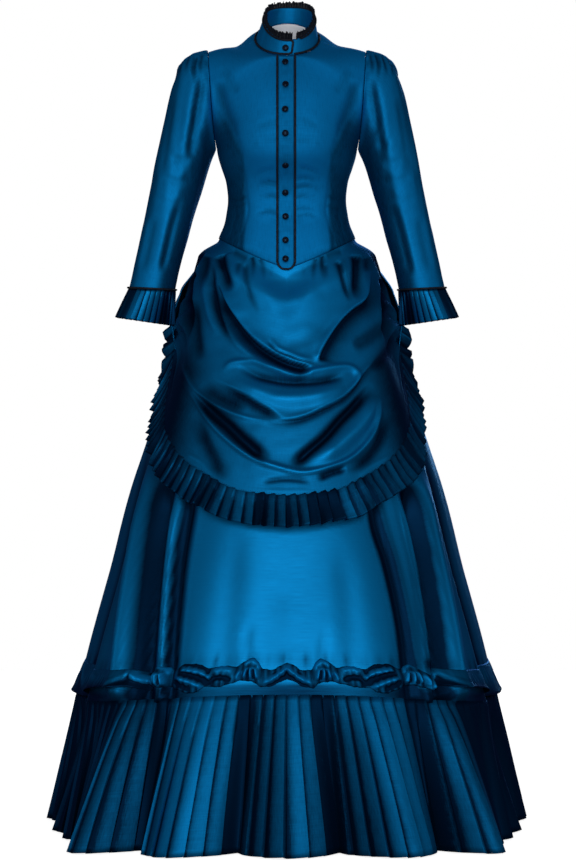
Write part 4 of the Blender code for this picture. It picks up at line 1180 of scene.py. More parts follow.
@dataclass
class Bodice:
    """Four panels cut close to the body, with darts, seams and the wearer's small creases."""

    room: Workroom
    below: int = 62
    above: int = 66
    columns: int = 60
    princess_x: float = 0.070

    def front_folds(self, side: int) -> list[Fold]:
        """Return the front's darts and creases on one side: 1 on the wearer's left, -1 on the right."""
        px = self.princess_x
        left = side > 0
        folds = [
            Fold(((px + 0.003, -0.238), (px - 0.001, -0.280), (px - 0.006, -0.320), (px, -0.345),
                  (px + 0.010, -0.400)),
                 0.0040, 0.024, start=0.30, end=0.1),
            Fold(((px + 0.006, -0.236), (px + 0.004, -0.280), (px, -0.318), (px + 0.006, -0.345),
                  (px + 0.018, -0.400)),
                 -0.0018, 0.0030, start=0.2, end=0.1),
            Fold(((0.101, -0.150), (0.095, -0.180), (0.084, -0.215), (0.078, -0.236)), -0.0022, 0.0060,
                 start=0.4, end=0.3),
            Fold(((0.098, -0.300), (0.094, -0.330), (0.104, -0.365), (0.112, -0.390)), -0.0014, 0.0040),
            Fold(((0.128, -0.080), (0.122, -0.110), (0.112, -0.145), (0.096, -0.190)), -0.0048, 0.0130,
                 0.0010),
            Fold(((0.120, -0.055), (0.105, -0.085), (0.088, -0.105)), -0.0020, 0.0090),
        ]
        creases = (
            (((0.016, -0.262), (0.034, -0.259), (0.058, -0.266)), -0.0011, 0.0034),
            (((0.015, -0.279), (0.038, -0.276), (0.064, -0.285)), -0.0014, 0.0036),
            (((0.016, -0.297), (0.030, -0.293), (0.060, -0.300)), -0.0013, 0.0034),
            (((0.015, -0.314), (0.036, -0.312), (0.055, -0.317)), -0.0010, 0.0034),
            (((0.018, -0.330), (0.038, -0.326), (0.062, -0.334)), -0.0011, 0.0036),
            (((0.020, -0.240), (0.046, -0.246), (0.066, -0.258)), -0.0010, 0.0040),
            (((0.072, -0.290), (0.090, -0.296), (0.106, -0.292)), -0.0013, 0.0040),
            (((0.070, -0.308), (0.088, -0.316), (0.104, -0.314)), -0.0010, 0.0036),
            (((0.016, -0.150), (0.040, -0.158), (0.060, -0.176)), -0.0005, 0.0080),
            (((0.017, -0.196), (0.038, -0.192), (0.062, -0.202)), -0.0004, 0.0070),
        )
        shift = 0.0015 if left else 0.0065
        for index, (route, out, width) in enumerate(creases):
            scale = 0.95 + 0.25 * math.sin(3.1 * index + (0 if left else 1.7))
            folds.append(Fold([(x, z - shift * math.cos(2.3 * index)) for x, z in route], out * scale, width,
                              -0.35 * out, 0.15, 0.5, 1.2 * width, -220 * out * scale))
        return folds

    def back_folds(self) -> list[Fold]:
        """Return the back's princess seams and soft creases."""
        return [
            Fold(((0.118, -0.120), (0.092, -0.170), (0.064, -0.230), (0.048, -0.290), (0.052, -0.345)),
                 -0.0012, 0.0022,
                 start=0.05, end=0.02),
            Fold(((0.112, -0.215), (0.092, -0.260), (0.084, -0.300), (0.092, -0.355)), -0.0011, 0.0022,
                 start=0.1, end=0.02),
            Fold(((0.020, -0.276), (0.045, -0.272), (0.070, -0.280)), -0.0013, 0.0040, 0.0005),
            Fold(((0.016, -0.296), (0.045, -0.300), (0.078, -0.294)), -0.0012, 0.0040, 0.0005),
            Fold(((0.120, -0.080), (0.108, -0.120), (0.090, -0.150)), -0.0030, 0.0110),
        ]

    def panel(self, front: bool, side: int) -> ClothGrid:
        """Return one dressed panel of the bodice."""
        points = BODICE.panel(front, self.below, self.above, self.columns)
        for _ in range(16):
            around = points[:-2, 1:-1] + points[2:, 1:-1] + points[1:-1, :-2] + points[1:-1, 2:]
            points[1:-1, 1:-1] = mix(points[1:-1, 1:-1], around / 4, 0.6)
        grid = ClothGrid(points, (0.0, 0.0, -0.2))
        across, up = points[..., 0], points[..., 2]
        folds = self.front_folds(side) if front else self.back_folds()
        edge = ease(np.minimum(np.arange(self.columns + 1), self.columns - np.arange(self.columns + 1)) / 4.0)
        seam = ease(np.arange(len(points))[::-1] / 4.0)[:, None]
        lift, shade = laid(folds, across, up)
        lift, shade = lift * edge * seam, shade * edge * seam
        uneven = 0.0003 * ripple(across * 60 + up * 23, 3 + side) * ripple(up * 52 - across * 17, 8 + side)
        grid.push(lift + uneven * edge * seam, 0.010)
        dip = 0.0055 if side < 0 else 0.0030
        sunk = dip * np.exp(-((across - 0.090) / 0.017) ** 2) * ease((up + 0.045) / 0.04)
        grid.points[..., 2] -= sunk
        grid.points[:, 0, 0] = points[:, 0, 0]
        roll = np.zeros(across.shape)
        roll[:2] = np.array((0.0010, 0.0004))[:, None]
        grid.push(-roll)
        # Painted shade along the hem's edge.
        grid.painted_shade = np.clip(grid.painted_shade + 0.35 * np.exp(-np.arange(len(points)) / 1.4)[:, None], 0, 1)
        grid.calm[:] = 1.0
        if front:
            # Painted shade on the front's sides, where they turn from the light, and across the bust.
            line = Profile((-0.420, -0.300, -0.240, -0.200, -0.165, -0.120),
                           (0.074, 0.070, 0.072, 0.086, 0.104, 0.128))(up)
            painted_flank_shade = ease((across - line) / 0.009) * ease((-0.125 - up) / 0.05)
            painted_chest_shade = 0.14 * np.exp(-((up + 0.185) / 0.035) ** 2) * ease((0.080 - across) / 0.03)
            # A painted highlight in the band under the bust; the last line also lightens the whole front a
            # little.
            under = 0.17 * np.exp(-((up + 0.232) / 0.026) ** 2)
            lit = (1 - grid.painted_shade) * (1 - 0.68 * painted_flank_shade) * (1 - painted_chest_shade) * (1 - shade)
            grid.painted_shade = 1 - lit - under - 0.11
        if side < 0:
            worn = grid
            grid = ClothGrid(mirrored(worn.points), (0.0, 0.0, -0.2))
            grid.painted_shade, grid.calm = worn.painted_shade, worn.calm
        return grid

    def build(self) -> None:
        """Make the four panels."""
        for name, front in (("front", True), ("back", False)):
            for label, side in (("left", 1), ("right", -1)):
                grid = self.panel(front, side)
                rests = [f"sleeve_{label}"]
                self.room.cloth(grid, f"bodice_{name}_{label}_satin", SATIN, Held.STRETCHED,
                                [f"bodice_{name}_{label}"], rests)


@dataclass
class Placket:
    """The raised strip down the centre front, its piping and its buttons."""

    room: Workroom
    left: float = 0.0125
    right: float = -0.0155
    lift: float = 0.0022
    cord_radius: float = 0.0019
    button_x: float = -0.0030
    foot: Sequence[tuple[float, float]] = ((0.0, 0.30), (0.0015, 0.52), (0.004, 0.72), (0.008, 0.90),
                                           (0.013, 1.0))
    heights: Sequence[float] = (-0.0526, -0.0943, -0.1392, -0.1815, -0.2344, -0.2849, -0.3314, -0.3746,
                                -0.4089)

    def face(self, xs: Points, heights: Points, lift: float) -> Points:
        """Return points over the front's middle at given x and height, lifted off it.

        Args:
            xs: Sideways places.
            heights: Heights, one for each row of points.
            lift: How far off the front's outer face.
        """
        rows = BODICE.panel(True, 60, 120, 40)
        rows = rows[rows[:, 0, 0] < SEAM]
        depth = np.stack([np.interp(np.abs(xs), row[:, 0], row[:, 1]) for row in rows])
        rise = np.stack([np.interp(np.abs(xs), row[:, 0], row[:, 2]) for row in rows])
        found = np.empty((len(heights), len(xs), 3))
        for column in range(len(xs)):
            found[:, column, 0] = xs[column]
            found[:, column, 1] = np.interp(heights, rise[:, column], depth[:, column])
            found[:, column, 2] = heights
        slope = np.gradient(found[:, len(xs) // 2, 1], heights)
        out = unit(stack(0.0, -1.0, slope))
        return found + out[:, None, :] * lift

    def rows(self, lift: float, widen: float = 0.0, columns: int = 13) -> Points:
        """Return the placket's face, from its rounded foot to the neckline."""
        low = BODICE.basque_point
        foot = np.array(self.foot)
        heights = np.concatenate([low + foot[:, 0], np.linspace(low + 0.018, NECK.front - SEAM, 110)])
        widths = np.interp(heights - low, foot[:, 0], foot[:, 1])
        middle = (self.left + self.right) / 2
        shares = np.linspace(self.right - widen, self.left + widen, columns) - middle
        full = self.face(np.linspace(self.right - widen, self.left + widen, columns), heights, lift)
        for index, width in enumerate(widths):
            full[index, :, 0] = middle + shares * width
        return full

    def build(self) -> None:
        """Make the strip, its cord and the ten buttons."""
        points = self.rows(self.lift)
        grid = ClothGrid(points, (0.0, 0.0, -0.2))
        across, up = points[..., 0], points[..., 2]
        pucker = np.zeros(across.shape)
        for height in self.heights:
            pucker -= 0.0005 * np.exp(-((across - self.button_x) / 0.006) ** 2 - ((up - height) / 0.005) ** 2)
        grid.push(pucker + 0.00035 * ripple(up * 240, 5) * np.cos(across * 160), 0.004)
        grid.calm[:] = 1.0
        # Painted shade across the chest, at the height of the bodice's painted chest shade.
        grid.painted_shade += 0.16 * np.exp(-((up + 0.185) / 0.035) ** 2)
        self.room.cloth(grid, "placket_satin", SATIN, Held.STRETCHED, ["placket"], ["bodice_front_left"])
        edge = self.rows(self.cord_radius + 0.0004, 0.0023, 9)
        outline = np.concatenate([edge[:0:-1, -1], edge[0, ::-1], edge[1:, 0]])
        piece = PIPING.run(carrier("placket_piping_cord", outline), BRAID,
                           {"Radius": self.cord_radius, "Step": 0.002})
        self.room.fit(piece, BRAID, ["placket_piping"])
        self.buttons()

    def buttons(self) -> None:
        """Set the ten shank buttons."""
        heights = np.array(self.heights)
        near = np.sort(np.concatenate([heights, heights + 0.001, heights - 0.001]))
        face = self.face(np.array([self.button_x]), near, self.lift)[:, 0]
        places, facings = [], []
        for index in range(len(heights)):
            low, middle, high = face[3 * index], face[3 * index + 1], face[3 * index + 2]
            up = (high - low) / np.linalg.norm(high - low)
            out = np.cross(up, (1.0, 0.0, 0.0))
            places.append(middle)
            facings.append(out if out[1] < 0 else -out)
        angle = 360 + math.degrees(math.asin(-0.0044 / NECK.half_width))
        places.append(NECK.collar(np.array(angle), (-0.0245 - NECK.front) / NECK.height, 0.0003))
        facings.append(unit(np.array((0.0, -1.0, 0.12))))
        tilt = np.random.RandomState(4).uniform(-0.07, 0.07, (len(places), 3))
        piece = BUTTONS.run(carrier("buttons_jet", np.array(places), facing=unit(np.array(facings) + tilt)),
                            JET,
                            {"Radius": 0.0060, "Shank": 0.0024})
        self.room.fit(piece, JET, [f"button_{number:02d}" for number in range(1, 11)])


@dataclass
class Collar:
    """The stand collar with its piping, gauze frill and the plain white lining inside the neck."""

    room: Workroom
    cord_radius: float = 0.0019
    frill_height: float = 0.0140
    waves: int = 52

    def build(self) -> None:
        """Make the band, the cords, the frill and the lining."""
        angle = np.linspace(NECK.start, NECK.end, 150)
        up = np.linspace(0, 1, 12)[:, None]
        points = NECK.collar(np.broadcast_to(angle, (12, 150)), up)
        grid = ClothGrid(points, (0.0, NECK.centre, 0.0))
        grid.push(0.0004 * ripple(np.radians(angle) * 5, 2) * np.sin(math.pi * up), 0.006)
        grid.calm[:] = 0.7
        self.room.cloth(grid, "collar_satin", SATIN, Held.STRETCHED, ["collar"], ["bodice_back_left"])
        away = self.cord_radius + 0.0006
        covered = np.linspace(NECK.start + 26, NECK.end - 6, 150)
        top = NECK.collar(covered, 0.94, away * (1 - 0.7 * np.sin(np.radians(covered)) ** 2))
        seam = np.linspace(NECK.start + 15, NECK.end - 6, 160)
        lap = NECK.collar(np.full(7, NECK.end - 1.5), np.linspace(0.84, 0.18, 7), away)
        base = NECK.collar(seam[::-1], 0.08, away + 0.0012 * np.exp(-(seam[::-1] / 24) ** 2))
        piece = PIPING.run(carrier("collar_piping_cord", np.concatenate([top, lap, base])), BRAID,
                           {"Radius": self.cord_radius, "Step": 0.002})
        self.room.fit(piece, BRAID, ["collar_piping"])
        self.frill()
        self.lining()

    def frill(self) -> None:
        """Make the gauze frill that stands on the collar's top edge, curling where it opens in front."""
        columns, rows = self.waves * 10 + 1, 9
        angle = np.linspace(13, 365, columns)
        share = np.linspace(0, 1, rows)[:, None]
        wave = np.linspace(0, self.waves * math.tau, columns)
        uneven = 1 + 0.35 * ripple(wave / 5, 21)
        phase = wave + 0.9 * ripple(wave / 4, 22) + 0.5 * share * ripple(wave / 3, 23)
        open_front = np.exp(-((angle - 13) / 26) ** 2) + np.exp(-((angle - 365) / 26) ** 2)
        out = (0.0006 + 0.0030 * share) * np.sin(phase) * uneven + 0.0018 * share
        tall = self.frill_height * (1 + 0.10 * ripple(wave / 2.5, 24) + 0.10 * open_front) * share
        tall = tall - 0.0012 * share ** 3 * (1 + np.cos(phase))
        lean = 0.0050 * share * np.abs(np.sin(np.radians(angle))) ** 3
        points = NECK.collar(np.broadcast_to(angle, (rows, columns)), 1.0, out - lean)
        points[..., 2] += -0.0016 + tall * (1 - 0.25 * np.abs(np.sin(np.radians(angle))) ** 4)
        run = unit(np.gradient(points, axis=1))
        points = points + run * (0.0013 * share * np.cos(phase))[..., None]
        grid = ClothGrid(points, (0.0, NECK.centre, 0.0))
        folds = 0.5 - 0.5 * np.abs(np.sin(phase))
        grid.dense = np.clip(0.62 * folds + 0.30 * (share > 0.88) + 0.30 * (share < 0.14) + 0 * phase, 0, 0.9)
        self.room.cloth(grid, "collar_frill_gauze", GAUZE, Held.GATHERED, ["collar_frill"], ["collar_satin"],
                        0.0004)

    def lining(self) -> None:
        """Make the bare white patch that hangs inside the back neck."""
        angle = np.linspace(128, 232, 48)
        drop = np.linspace(0, 0.042, 20)[:, None]
        neck = NECK.line(np.broadcast_to(angle, (20, 48)))
        way = unit((neck - np.array((0.0, NECK.centre, 0.0))) * np.array((1.0, 1.0, 0.0)))
        points = neck - way * (CLOTH + 0.0004)
        points[..., 1] += 0.30 * drop
        points[..., 2] += -SEAM - drop
        grid = ClothGrid(points, (0.0, NECK.centre, 0.0))
        grid.push(-0.0004 * (0.5 + 0.5 * ripple(np.radians(angle) * 9 + drop * 40, 6))
                  * np.sin(math.pi * drop / 0.042))
        self.room.cloth(grid, "neck_lining_cloth", LINING, Held.HUNG, ["neck_lining"], ["bodice_back_left"],
                        0.0010)


# ---------------------------------------------------------------- sleeves

@dataclass
class Sleeves:
    """Two long sleeves, a little puffed at the head, with piping and pleated frills at the cuffs."""

    room: Workroom
    rows: int = 120
    columns: int = 80
    cord_radius: float = 0.0019

    # outer x and z, inner x and z, half depth, how far forward
    RINGS = np.array((
        (0.1600, -0.0240, 0.1318, -0.2060, 0.0650, 0.002), (0.1800, -0.0310, 0.1345, -0.2130, 0.0680, 0.003),
        (0.1985, -0.0500, 0.1380, -0.2210, 0.0690, 0.004), (0.2085, -0.0780, 0.1420, -0.2320, 0.0680, 0.006),
        (0.2180, -0.1130, 0.1470, -0.2470, 0.0650, 0.008), (0.2260, -0.1500, 0.1530, -0.2670, 0.0615, 0.011),
        (0.2345, -0.1900, 0.1590, -0.2880, 0.0580, 0.014), (0.2420, -0.2280, 0.1665, -0.3120, 0.0550, 0.018),
        (0.2495, -0.2680, 0.1745, -0.3400, 0.0520, 0.022), (0.2580, -0.3120, 0.1820, -0.3690, 0.0490, 0.026),
        (0.2670, -0.3570, 0.1910, -0.4000, 0.0460, 0.030), (0.2780, -0.4080, 0.1990, -0.4320, 0.0435, 0.034),
        (0.2900, -0.4600, 0.2055, -0.4640, 0.0420, 0.038)))

    def form(self) -> Points:
        """Return the left sleeve's smooth form, from the armhole to the cuff."""
        turn = np.linspace(0, 360, self.columns, endpoint=False)
        side = np.radians(turn)
        rows = [armhole(turn) + np.array((SEAM, 0.0, 0.0))]
        for outer_x, outer_z, inner_x, inner_z, depth, forward in self.RINGS:
            up = (1 - np.cos(side)) / 2
            rows.append(stack(mix(inner_x, outer_x, up), -forward - depth * np.sin(side),
                              mix(inner_z, outer_z, up)))
        at = np.linspace(0, 1, self.rows) ** 1.15 * (len(rows) - 1)
        return smooth_rows(np.stack(rows), at)

    def folds(self, side: int) -> list[Fold]:
        """Return the creases that show on the front of a sleeve, in x and height."""
        base = [
            Fold(((0.153, -0.030), (0.156, -0.048), (0.155, -0.066)), -0.0030, 0.0034, 0.0012, 0.05, 0.6,
                 0.0034, 0.45),
            Fold(((0.163, -0.030), (0.168, -0.050), (0.167, -0.080)), -0.0036, 0.0038, 0.0014, 0.05, 0.6,
                 0.0040, 0.50),
            Fold(((0.175, -0.032), (0.182, -0.052), (0.184, -0.072)), -0.0032, 0.0036, 0.0014, 0.05, 0.6,
                 0.0038, 0.45),
            Fold(((0.186, -0.038), (0.194, -0.056), (0.198, -0.078)), -0.0028, 0.0034, 0.0012, 0.05, 0.6,
                 0.0036, 0.45),
            Fold(((0.195, -0.048), (0.203, -0.066), (0.207, -0.084)), -0.0020, 0.0032, 0.0010, 0.05, 0.6,
                 0.0032, 0.35),
            Fold(((0.150, -0.070), (0.157, -0.120), (0.166, -0.175), (0.176, -0.230)), -0.0044, 0.0090,
                 0.0012),
            Fold(((0.205, -0.105), (0.214, -0.160), (0.222, -0.215), (0.230, -0.260)), -0.0028, 0.0085,
                 0.0012),
            Fold(((0.152, -0.185), (0.172, -0.196), (0.192, -0.190)), -0.0012, 0.0070, 0.0014),
            Fold(((0.162, -0.218), (0.186, -0.232), (0.212, -0.228)), -0.0016, 0.0070, 0.0008),
            Fold(((0.170, -0.256), (0.196, -0.266), (0.226, -0.254)), -0.0016, 0.0070, 0.0008),
            Fold(((0.184, -0.290), (0.206, -0.300), (0.236, -0.292)), -0.0011, 0.0065, 0.0005),
            Fold(((0.190, -0.300), (0.204, -0.350), (0.216, -0.400), (0.226, -0.440)), -0.0030, 0.0075,
                 0.0014),
            Fold(((0.240, -0.330), (0.250, -0.380), (0.262, -0.430)), -0.0022, 0.0070, 0.0010),
        ]
        if side > 0:
            return base
        return [Fold([(x + 0.003, z - 0.007 * math.sin(2.1 * index)) for x, z in fold.route],
                     fold.out * (1 + 0.3 * math.sin(1.7 * index)), fold.width, fold.lip, fold.start, fold.end,
                     fold.shade,
                     fold.dark)
                for index, fold in enumerate(base)]

    def sleeve(self, side: int) -> ClothGrid:
        """Return one dressed sleeve."""
        points = self.form()
        grid = ClothGrid(points, tuple(points.mean(axis=(0, 1))), closed=True)
        turn = np.linspace(0, math.tau, self.columns, endpoint=False)
        ahead = ease((np.sin(turn) + 0.15) / 0.6)
        behind = 1 - ahead
        across, up = points[..., 0], points[..., 2]
        lift, shade = laid(self.folds(side), across, up)
        lift = lift * ahead + folded(self.folds(-side), across - 0.006, up + 0.012) * behind
        run = np.arange(self.rows)[:, None] / (self.rows - 1)
        head = np.exp(-((turn - math.pi) / 0.85) ** 2)
        waves = np.cos(14 * turn + 1.2 * ripple(turn * 3, 31))
        gathers = 0.0030 * head * np.exp(-((run - 0.035) / 0.05) ** 2) * waves
        long_waves = 0.0016 * ripple(turn * 2 + 2.4 * run,
                                     34 + side) * np.sin(math.pi * np.clip(run * 1.1, 0, 1))
        seam = ease(run / 0.03) * ease((1 - run) / 0.03)
        grid.push((lift + long_waves) * seam + gathers * ease(run / 0.010), 0.010)
        # Painted shade on the inner side, towards the body, and on the outer edge turned from the light, with
        # the creases' painted shade.
        facing = grid.normals()[..., 0]
        inner = 0.62 * ease((-0.12 - facing) / 0.40) * ease((run - 0.08) / 0.15) * mix(0.75, 1.0, run)
        painted_outer_shade = 0.40 * ease((facing - 0.62) / 0.3)
        grid.painted_shade = 1 - (1 - 0.75 * grid.painted_shade) * (1 - inner) * (1 - painted_outer_shade) * (1 - shade * ahead)
        grid.calm[:] = 0.80
        if side < 0:
            worn = grid
            grid = ClothGrid(mirrored(worn.points), tuple(mirrored(points.mean(axis=(0, 1)))), closed=True)
            grid.painted_shade, grid.calm = worn.painted_shade, worn.calm
        return grid

    def cuff(self, end: Points, side: int) -> ClothGrid:
        """Return the cuff's frill, smooth, from the sleeve's last row on one side."""
        loop = np.concatenate([end, end[:1]])
        columns, rows = 28 * 8, 14
        base = along(loop, np.linspace(0, 1, columns, endpoint=False))
        centre = end.mean(axis=0)
        share = np.linspace(0, 1, rows)[:, None, None]
        flare = centre + (base - centre) * mix(1.0, 1.15, share)
        points = flare + np.array((0.0145 * side, -0.004, -0.0590)) * share - np.array((0.0, 0.0, SEAM))
        points[..., 2] -= 0.11 * share[..., 0] * (centre[0] - base[:, 0]) * side
        strip = ClothGrid(points, tuple(points.mean(axis=(0, 1))), closed=True)
        # Painted shade where the frill turns sideways from the light.
        strip.painted_shade = 0.10 + 0.45 * ease((np.abs(strip.normals()[..., 0]) - 0.30) / 0.45)
        return strip

    def build(self) -> None:
        """Make both sleeves with their cuffs."""
        pleating = Pleating(28, 0.0062, 0.0030, head=0.22, flare=0.002, uneven=0.3, seed=7.0)
        for label, side in (("left", 1), ("right", -1)):
            grid = self.sleeve(side)
            sleeve = self.room.cloth(grid, f"sleeve_{label}_satin", SATIN, Held.DRAPED, [f"sleeve_{label}"],
                                     [f"bodice_back_{label}_satin", f"bodice_front_{label}_satin"])
            end = grid.points[-1]
            frill = self.cuff(end, side)
            piece = pleating.lay(frill, f"cuff_frill_{label}_satin", SATIN)
            self.room.fit(piece, SATIN, [f"cuff_frill_{label}"])
            self.room.declare(piece, pleating.cut(frill), Held.GATHERED, [sleeve.name])
            way = unit(end - end.mean(axis=0))
            route = end + way * (self.cord_radius + 0.0003) + np.array((0.0, 0.0, 0.0012))
            cord = PIPING.run(carrier(f"cuff_piping_{label}_cord", route, closed=True), BRAID,
                              {"Radius": self.cord_radius, "Step": 0.002})
            self.room.fit(cord, BRAID, [f"cuff_piping_{label}"])


# ---------------------------------------------------------------- forms of the skirts

@dataclass(frozen=True)
class SkirtForm:
    """The bell of the underskirt over its bustle, and the overskirt's edge upon it."""

    hip_start: float = 0.002
    hip_blend: float = 0.030
    tuck: float = 0.012
    flounce_top: float = -1.178
    side_drop: float = 0.035

    # height, half width, front depth, back depth, centre, squareness
    RINGS = np.array((
        (-0.335, 0.118, 0.092, 0.094, 0.000, 2.0), (-0.370, 0.140, 0.104, 0.140, 0.015, 2.0),
        (-0.400, 0.153, 0.114, 0.210, 0.040, 2.0), (-0.430, 0.164, 0.124, 0.275, 0.060, 2.1),
        (-0.460, 0.174, 0.133, 0.312, 0.075, 2.1), (-0.520, 0.196, 0.152, 0.340, 0.090, 2.1),
        (-0.600, 0.218, 0.180, 0.352, 0.100, 2.2), (-0.700, 0.248, 0.213, 0.368, 0.100, 2.3),
        (-0.800, 0.276, 0.246, 0.392, 0.090, 2.4), (-0.900, 0.304, 0.279, 0.425, 0.080, 2.5),
        (-1.000, 0.331, 0.312, 0.465, 0.070, 2.7), (-1.110, 0.361, 0.348, 0.510, 0.060, 2.9),
        (-1.200, 0.383, 0.376, 0.545, 0.055, 3.1), (-1.440, 0.438, 0.445, 0.610, 0.050, 3.5)))
    # angle, height: low at the front, hitched at the hips, low at the back
    EDGE = np.array((
        (0, -0.8285), (12, -0.820), (23, -0.797), (37, -0.765), (55, -0.706), (68, -0.645), (80, -0.585),
        (90, -0.568), (100, -0.585), (115, -0.640), (135, -0.720), (155, -0.785), (180, -0.810)))
    # angle, spread, out: ridges stand out, troughs go in
    LONG = ((-162, 10, 0.014), (-148, 8, -0.016), (-132, 9, 0.015), (-117, 8, -0.018), (-103, 8, 0.014),
            (-89, 7, 0.012), (-74, 7, -0.020), (-59, 8, 0.013), (-43, 7, -0.022), (-29, 8, 0.012),
            (28, 8, 0.011), (42, 7, -0.018), (57, 8, 0.015), (73, 7, -0.022), (88, 7, 0.011), (102, 8, 0.013),
            (118, 8, -0.017), (134, 9, 0.016), (149, 8, -0.015), (165, 10, 0.013))

    def form(self, angle: Points, height: Points) -> tuple[Points, Points]:
        """Return points on the plain form and the way out from each."""
        angle, height = np.broadcast_arrays(angle, height)
        wide, front, back, centre, square = (
            Profile(self.RINGS[:, 0], self.RINGS[:, column])(height) for column in range(1, 6))
        turn = np.radians(angle)
        square = np.where(np.cos(turn) > 0, square, mix(2.0, square, 0.25))
        power = 2 / square
        ahead = signed_power(np.cos(turn), power)
        reach = np.where(ahead > 0, front + centre, back - centre)
        points = stack(wide * signed_power(np.sin(turn), power), centre - reach * ahead, height)
        out = unit(stack(points[..., 0] / wide ** 2, (points[..., 1] - centre) / reach ** 2, 0.0))
        return points, out

    def hip(self, angle: Points, height: Points, tucked: float, free: Points | float) -> Points:
        """Return a skirt layer: tucked inside the bodice above its hem, free of the form below it."""
        angle, height = np.broadcast_arrays(angle, height)
        close = BODICE.around(angle, height, tucked)
        points, out = self.form(angle, height)
        blend = mix(2.0, 1.0, ease(np.abs((angle + 180) % 360 - 180) / 60)) * self.hip_blend
        share = ease((BODICE.hem(angle) - height - self.hip_start) / blend)[..., None]
        return mix(close, points + out * np.broadcast_to(free, height.shape)[..., None], share)

    def edge(self, angle: Points) -> Points:
        """Return the height of the overskirt's edge at each angle."""
        return Profile(self.EDGE[:, 0], self.EDGE[:, 1])(np.abs((angle + 180) % 360 - 180))

    def long_folds(self, angle: Points, height: Points) -> Points:
        """Return how far the underskirt's long folds stand out or in."""
        total = np.zeros(np.broadcast(angle, height).shape)
        for where, spread, out in self.LONG:
            away = (angle - where + 180) % 360 - 180
            total = total + out * np.exp(-(away / spread) ** 2)
        return total * ease((-0.66 - height) / 0.36)

    def seam(self, angle: Points) -> Points:
        """Return the height of the flounce's seam at each angle."""
        return self.flounce_top - self.side_drop * np.abs(np.sin(np.radians(angle))) ** 1.5

    def even_angles(self, height: float, places: Points) -> Points:
        """Return angles at given shares of the length around the form, from the front centre."""
        fine = np.linspace(0, 360, 2881)
        ring = self.form(fine, np.full(fine.shape, height))[0]
        lengths = np.concatenate([[0], np.cumsum(np.linalg.norm(np.diff(ring, axis=0), axis=1))])
        return np.interp(np.asarray(places) % 1.0, lengths / lengths[-1], fine) + 360 * np.floor(places)


SKIRT = SkirtForm()
UNDER_TUCK = TUCKED + CLOTH + 0.0009


# ---------------------------------------------------------------- overskirt

# The apron's front view: columns count to the wearer's left and rows count down, in pixels
PIXEL = 0.00179
MIDDLE_COLUMN = 287
EYE_ROW = 321
EYE_HEIGHT = -0.52


def seen(*places: tuple[float, float]) -> Route:
    """Return a route in metres, to the nearest millimetre, from its columns and rows in the front view."""
    return tuple((round((column - MIDDLE_COLUMN) * PIXEL, 3), round(EYE_HEIGHT - (row - EYE_ROW) * PIXEL, 3))
                 for column, row in places)


